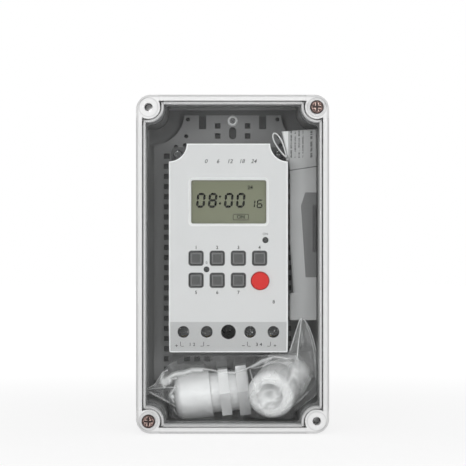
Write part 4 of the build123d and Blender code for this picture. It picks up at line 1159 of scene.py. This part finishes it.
def film_grid():
    """Places of the film's grid: across and up in millimetres."""
    share = np.linspace(0, 1, COLUMNS + 1)
    across = BAG_TOP[0][0] + share * (BAG_TOP[-1][0] - BAG_TOP[0][0])
    top = np.interp(across, *zip(*BAG_TOP))
    foot = np.interp(across, *zip(*BAG_FOOT))
    rows = np.linspace(0, 1, ROWS + 1)
    up = foot[:, None] + rows[None, :] * (top - foot)[:, None]
    return np.repeat(across[:, None], ROWS + 1, 1), up


def drawn_over(surface, across, up, weld, side):
    """Height of one wall of the bag: it shrinks flat, and stops where a gland is in the way."""
    block = np.full(across.shape, -np.inf)
    for i, j in np.ndindex(across.shape):
        start = Vector((across[i, j] * MM, -RAY_START * side, up[i, j] * MM))
        met = surface.ray_cast(start, Vector((0, side, 0)))[0]
        if met is not None:
            block[i, j] = -met.y / MM * side + FILM_GAP
    height = weld * side
    for _ in range(SHRINK_STEPS):
        inner = (height[:-2, 1:-1] + height[2:, 1:-1] + height[1:-1, :-2] + height[1:-1, 2:]) / 4
        height[1:-1, 1:-1] = np.maximum(inner, block[1:-1, 1:-1])
    return height * side


def accessory_bag():
    shape = bmesh.new()
    highlight_and_weld_layer = shape.verts.layers.float.new("highlight_and_weld")
    surface = glands_surface()
    across, up = film_grid()
    weld = np.repeat(np.interp(across[:, :1], *zip(*BAG_WELD)), ROWS + 1, 1)
    crest_highlight, fold_rise = fold_lines(across, up)
    cloud = sum(white * np.exp(-(np.hypot(across - x, up - z) / radius) ** 2)
                for x, z, radius, white in CLOUDS)
    for side, full_lift in ((1, 1.0), (-1, BACK_LIFT)):
        height = drawn_over(surface, across, up, weld, side)
        grid = bmesh.ops.create_grid(shape, x_segments=COLUMNS, y_segments=ROWS, size=0.5)["verts"]
        for vert in grid:
            i = round((vert.co.x + 0.5) * COLUMNS)
            j = round((vert.co.y + 0.5) * ROWS)
            x, z = across[i, j], up[i, j]
            from_weld = min(i, COLUMNS - i, j, ROWS - j)
            rise, streaks = crinkle(x, z)
            lift = (rise + fold_rise[i, j]) * min(1.0, from_weld / LIFT_ROWS) * full_lift
            vert.co = spot(x, max(height[i, j] + lift * side, BAG_BACK), z)
            if side == 1:
                # The film's whiteness: painted highlights along the folds and in the small clouds near the
                # tip, milky haze in the larger clouds, and a whiter weld
                hazy = cloud[i, j] * (0.45 + 0.75 * streaks)
                vert[highlight_and_weld_layer] = max(crest_highlight[i, j], hazy, WELD_WHITE if from_weld < WELD_ROWS else 0.0)
    bmesh.ops.remove_doubles(shape, verts=shape.verts, dist=0.001 * MM)
    bmesh.ops.recalc_face_normals(shape, faces=shape.faces)
    return shape


make_piece("gland_bag", accessory_bag(), finishes["bag_film"],
           stands_for=["accessory_bag"], smooth=True)


# Floor, white surroundings and soft lamps, in metres
FLOOR_HALF = 3.0
FLOOR_GAP = 0.5 * MM


def floor_paint():
    """White floor: as white as the background far out, and shaded by the object near it."""
    paint = Paint("floor_white")
    across, height, _ = paint.millimetres()
    far = from_point(across, height, 0, 0).above(350, 500)
    surface = paint.principled(Base_Color=grey(255), Roughness=0.8)
    glow = paint.node("ShaderNodeEmission", None, {"Color": (1, 1, 1, 1), "Strength": 1.04})
    return paint.done(paint.blend(paint.seen() * (0.78 + far * 0.22), surface, glow))


def make_floor():
    shape = bmesh.new()
    bmesh.ops.create_grid(shape, x_segments=1, y_segments=1, size=FLOOR_HALF)
    bmesh.ops.translate(shape, verts=shape.verts, vec=(0, 0, cad_box[0][2] - FLOOR_GAP))
    mesh = bpy.data.meshes.new("floor")
    shape.to_mesh(mesh)
    shape.free()
    mesh.materials.append(floor_paint())
    floor = bpy.data.objects.new("floor", mesh)
    bpy.context.scene.collection.objects.link(floor)


def make_world(level):
    """White room: as bright as level for the object, and plain white where it is seen or mirrored."""
    world = bpy.data.worlds.new("white_room")
    bpy.context.scene.world = world
    world.use_nodes = True
    room = NodeMaker(world.node_tree)
    strength = room.node("ShaderNodeMapRange", None, {"Value": room.seen(), "To Min": level})
    back = world.node_tree.nodes["Background"]
    back.inputs["Color"].default_value = (1, 1, 1, 1)
    world.node_tree.links.new(strength.socket, back.inputs["Strength"])


def soft_lamp(name, place, size, power):
    """A square lamp that looks at the box."""
    lamp = bpy.data.lights.new(name, "AREA")
    lamp.shape = "SQUARE"
    lamp.size = size
    lamp.energy = power
    holder = bpy.data.objects.new(name, lamp)
    holder.location = place
    holder.rotation_mode = "QUATERNION"
    holder.rotation_quaternion = (-Vector(place)).to_track_quat("-Z", "Y")
    bpy.context.scene.collection.objects.link(holder)


make_floor()
make_world(0.33)
soft_lamp("front_softbox", (0, -2.0, 0.6), 0.5, 6.0)
soft_lamp("left_softbox", (-0.62, -1.5, 0.08), 0.5, 5.4)
soft_lamp("right_softbox", (0.65, -1.45, 0.05), 0.5, 4.8)
soft_lamp("top_softbox", (0, -0.5, 1.3), 0.8, 2.6)

bpy.context.scene.view_settings.view_transform = "Standard"
